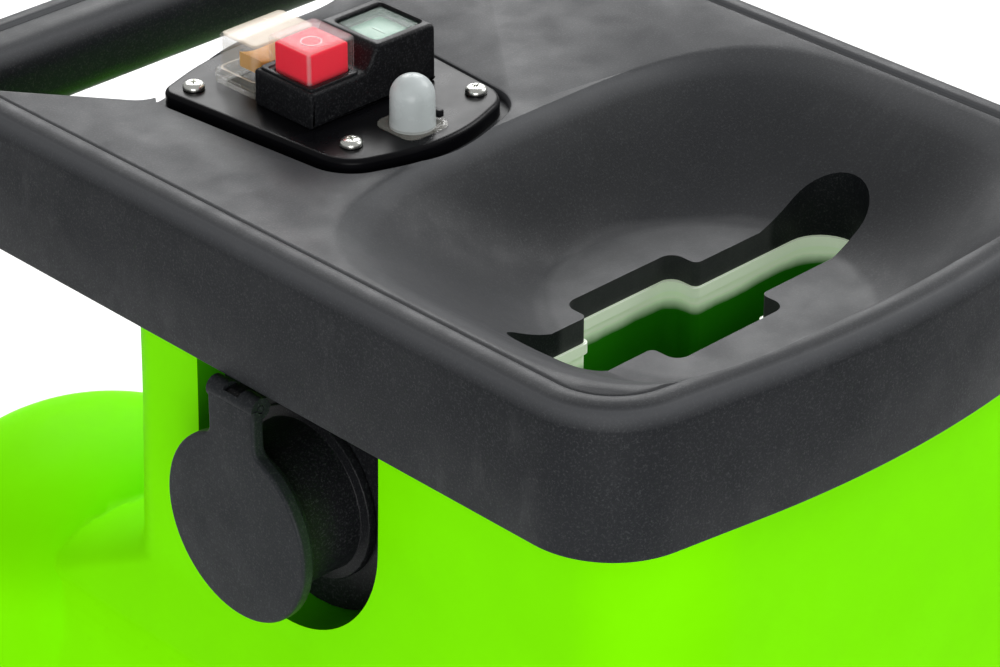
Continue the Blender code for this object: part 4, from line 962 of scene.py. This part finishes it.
def make_tube_frame():
    """Two bent side tubes, the bar between them, the axle and the front feet."""
    axle = measures("axle")[2]
    for side, out in (("left", -1), ("right", 1)):
        low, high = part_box("side_frame_" + side)
        far = high.x if out > 0 else -low.x
        radius = 0.0125
        x, x_top, rail = out * (far - radius), out * (far - radius - 0.012), low.z + radius
        front = DISH_Y - 0.100
        corners = [Vector((x_top, front + 0.045, high.z)), Vector((x, front, rail)),
                   Vector((x, axle.y, rail)), Vector((x_top, axle.y - 0.030, high.z))]
        tube = bent_tube(f"side_frame_{side}_fine", corners, radius, 0.055)
        bore = turned("bore", [(0.0083, -0.030), (0.0083, 0.030)], (x, axle.y, axle.z), "X", 32)
        stand_in(carve(tube, [bore], smooth=40), "side_frame_" + side)
        low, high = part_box("foot_" + side)
        foot = pad(f"foot_{side}_fine", over_box("foot_" + side, 0, 0.010), low.z, high.z, MATS["rubber"],
                   0.0025, 0.0010)
        grooves = []
        for y in (low.y + 0.015, low.y + 0.030, low.y + 0.045):
            outline = rectangle(low.x - 0.01, high.x + 0.01, y - 0.0015, y + 0.0015)
            grooves.append(prism("groove", outline, low.z - 0.01, low.z + 0.002))
        stand_in(carve(foot, grooves, smooth=30), "foot_" + side)
    for node, finish, chamfer in (("cross_bar", "trim", 0.0006), ("axle", "steel", 0.0012),
                                  ("hopper_hinge_pin", "steel", 0.0008)):
        low, high, middle = measures(node)
        radius, half = (high.z - low.z) / 2, (high.x - low.x) / 2
        profile = [(radius - chamfer, -half), (radius, chamfer - half),
                   (radius, half - chamfer), (radius - chamfer, half)]
        stand_in(turned(node + "_fine", profile, middle, "X", 48, MATS[finish]), node)


def bent_tube(name, corners, radius, bend, sides=28, steps=14):
    """Round tube through corners, each rounded over the length of bend."""
    points = [corners[0]]
    for i in (1, 2):
        before = (corners[i - 1] - corners[i]).normalized() * bend
        after = (corners[i + 1] - corners[i]).normalized() * bend
        for k in range(steps + 1):
            t = k / steps
            points.append(corners[i] + before * (1 - t) ** 2 + after * t ** 2)
    points.append(corners[3])
    rings = []
    for i, here in enumerate(points):
        ahead = points[min(i + 1, len(points) - 1)] - points[max(i - 1, 0)]
        v = ahead.cross(Vector((1, 0, 0))).normalized()
        u = v.cross(ahead).normalized()
        if i in (0, len(points) - 1):
            u, v = Vector((1, 0, 0)), Vector((0, 1, 0))
        rings.append([here + (u * p.x + v * p.y) for p in circle(0, 0, radius, sides)])
    return loft(name, rings, MATS["trim"], smooth=40)


# ---------------------------------------------------------------- cutter, motor and chute
def make_lock():
    """Star knob with rounded lobes and a shallow dish in its top, on its shank."""
    low, high, middle = measures("lock_knob")
    x, y, top = middle.x, LOCK_Y, high.z
    grip_low = top - 0.022
    rings = []
    for shrink, z in ((0.0030, grip_low), (0.0010, grip_low + 0.0012), (0.0, grip_low + 0.004),
                      (0.0, top - 0.006), (0.0008, top - 0.0025), (0.0030, top - 0.0005), (0.0045, top),
                      (0.0080, top), (0.0100, top - 0.0012), (0.0190, top - 0.0012)):
        ring = []
        for k in range(160):
            turn = 2 * pi * k / 160
            lobe = 0.0030 * cos(5 * turn) * max(0.0, 1 - shrink / 0.0100)
            reach = max(0.0003, 0.0195 - shrink + lobe)
            ring.append(Vector((x + reach * cos(turn), y + reach * sin(turn), z)))
        rings.append(ring)
    knob = loft("lock_knob_fine", rings, MATS["trim"])
    profile = [(0.0034, low.z), (0.0040, low.z + 0.0008), (0.0040, grip_low + 0.003)]
    shank = turned("shank", profile, (x, y, 0), "Z", 32)
    stand_in(carve(knob, [shank], "UNION", smooth=35), "lock_knob")


def make_chute():
    """Discharge duct that leans out to the front, open at both ends."""
    low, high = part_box("discharge_chute")
    top_y0, top_y1 = DISH_Y - 0.127, DISH_Y - 0.038
    sections = [(0.075, top_y0, top_y1, high.z), (0.075, top_y0 - 0.020, top_y1 - 0.020, high.z - 0.060),
                (0.082, low.y, low.y + 0.085, low.z)]
    outer, inner = [], []
    for half, y0, y1, z in sections:
        outline = rectangle(-half, half, y0, y1, 0.010, 8)
        outer.append(level(outline, z))
        inner.append(level(inset(outline, 0.003), z))
    duct = loft("discharge_chute_fine", outer + inner[::-1], MATS["trim"], closed=True, smooth=50)
    stand_in(duct, "discharge_chute")


def make_motor_cover():
    """Vented cup under the motor."""
    low, high, middle = measures("motor_cover")
    radius, wall, bend = (high.x - low.x) / 2, 0.003, 0.022
    centre = (middle.x, middle.y, 0)
    outer = [(radius, high.z), (radius, low.z + bend)]
    for turn in quarter(8, 1):
        outer.append((radius - 0.020 * (1 - cos(turn)), low.z + bend - bend * sin(turn)))
    outer.append((0.020, low.z))
    inner = [(0.020, low.z + wall), (radius - bend, low.z + wall), (radius - wall, low.z + bend),
             (radius - wall, high.z)]
    cup = turned("motor_cover_fine", outer + inner, centre, "Z", 96, MATS["trim"], closed=True, smooth=40)
    vents = []
    for k in range(6):
        vent = prism("vent", rectangle(0.035, 0.068, -0.005, 0.005, 0.0045), low.z - 0.02, low.z + 0.02)
        vents.append(place_round(vent, centre, 2 * pi * k / 6, "Z"))
    stand_in(carve(cup, vents, smooth=40), "motor_cover")


ROUNDED = {"cutter_housing": 0.0020, "hopper_hinge_leaf": 0.0006, "chassis_hinge_leaf": 0.0006,
           "cutter_disc": 0.0008, "knife_1": 0.0004, "knife_2": 0.0004, "knife_screw_1": 0.0005,
           "knife_screw_2": 0.0005, "disc_bolt": 0.0006}


def make_lower_machine():
    make_wheels()
    make_tube_frame()
    make_lock()
    make_chute()
    make_motor_cover()
    for node, width in ROUNDED.items():
        polished(node, width)


# ---------------------------------------------------------------- stage
WORLD_LIGHT = 0.42
LAMPS = {
    "back_sheen": ((2.1, 2.2, 2.4), (0.0, 0.0, 0.9), (2.6, 1.5), 52),
    "right": ((2.4, -0.6, 2.6), (0.0, 0.0, 0.9), (1.4, 1.4), 40),
    "front": ((-2.2, -2.0, 1.1), (0.0, 0.0, 0.65), (1.8, 1.4), 38),
    "floor_wash": ((1.8, 2.4, 2.9), (1.6, 2.2, 0.0), (2.4, 2.4), 70),
}


def make_stage():
    floor = solid("floor", [(-6, -6, 0), (6, -6, 0), (6, 8, 0), (-6, 8, 0)], [(0, 1, 2, 3)], None)
    g = Graph("studio_floor")
    g.link(g.blend(g.noise(0.5, 2.0, 0.5), rgb(0.86, 0.86, 0.86), rgb(0.90, 0.90, 0.90)), "Base Color")
    g.put(Roughness=0.9)
    floor.data.materials.append(g.material)

    world = bpy.data.worlds.new("studio")
    world.use_nodes = True
    background = world.node_tree.nodes["Background"].inputs
    background["Color"].default_value = rgb(1.0, 1.0, 1.0)
    background["Strength"].default_value = WORLD_LIGHT
    bpy.context.scene.world = world
    for name, (place, target, size, power) in LAMPS.items():
        light = bpy.data.lights.new(name, "AREA")
        light.shape = "RECTANGLE"
        light.size, light.size_y = size
        light.energy = power
        made = add_object(name, light)
        made.location = place
        aim = Vector(target) - Vector(place)
        made.rotation_euler = aim.to_track_quat("-Z", "Y").to_euler()

    camera = bpy.data.cameras.new("camera")
    camera.sensor_width = 36.0
    camera.lens = 132.1
    camera.clip_start = 0.05
    made = add_object("camera", camera)
    made.location = (-0.934, DISH_Y - 0.845, TOP_Z + 0.656)
    made.rotation_euler = (radians(60.4), 0.0, radians(-44.2))
    bpy.context.scene.camera = made
    bpy.context.scene.view_settings.view_transform = "Standard"


# ---------------------------------------------------------------- finishes of the CAD nodes
FINISH = {  # nodes that stay or are polished; every other node is replaced by a new piece
    "trim": ["switch_block", "rocker_switch", "reset_button", "overload_breaker", "inlet_plate",
             "inlet_socket", "cooling_fan", "cutter_housing"],
    "cap": ["cap_hinge_pin"],
    "zinc": ["knife_screw_1", "knife_screw_2", "disc_bolt"],
    "steel": ["hopper_hinge_leaf", "chassis_hinge_leaf", "motor_shaft", "cutter_disc", "knife_1", "knife_2",
              "rotor_core", "bearing_lower", "bearing_upper"],
    "brass": ["inlet_pin_1", "inlet_pin_2", "inlet_pin_3"],
    "cast": ["motor_casing"],
}


def dress_cad():
    for finish, names in FINISH.items():
        for name in names:
            node = frame["nodes"][name]
            only_material(node, MATS[finish])
            finish_mesh(node)


make_stage()
dress_cad()
make_top_cover()
make_panel()
make_switch()
make_rocker()
make_boot()
make_body()
make_cap()
make_lower_machine()
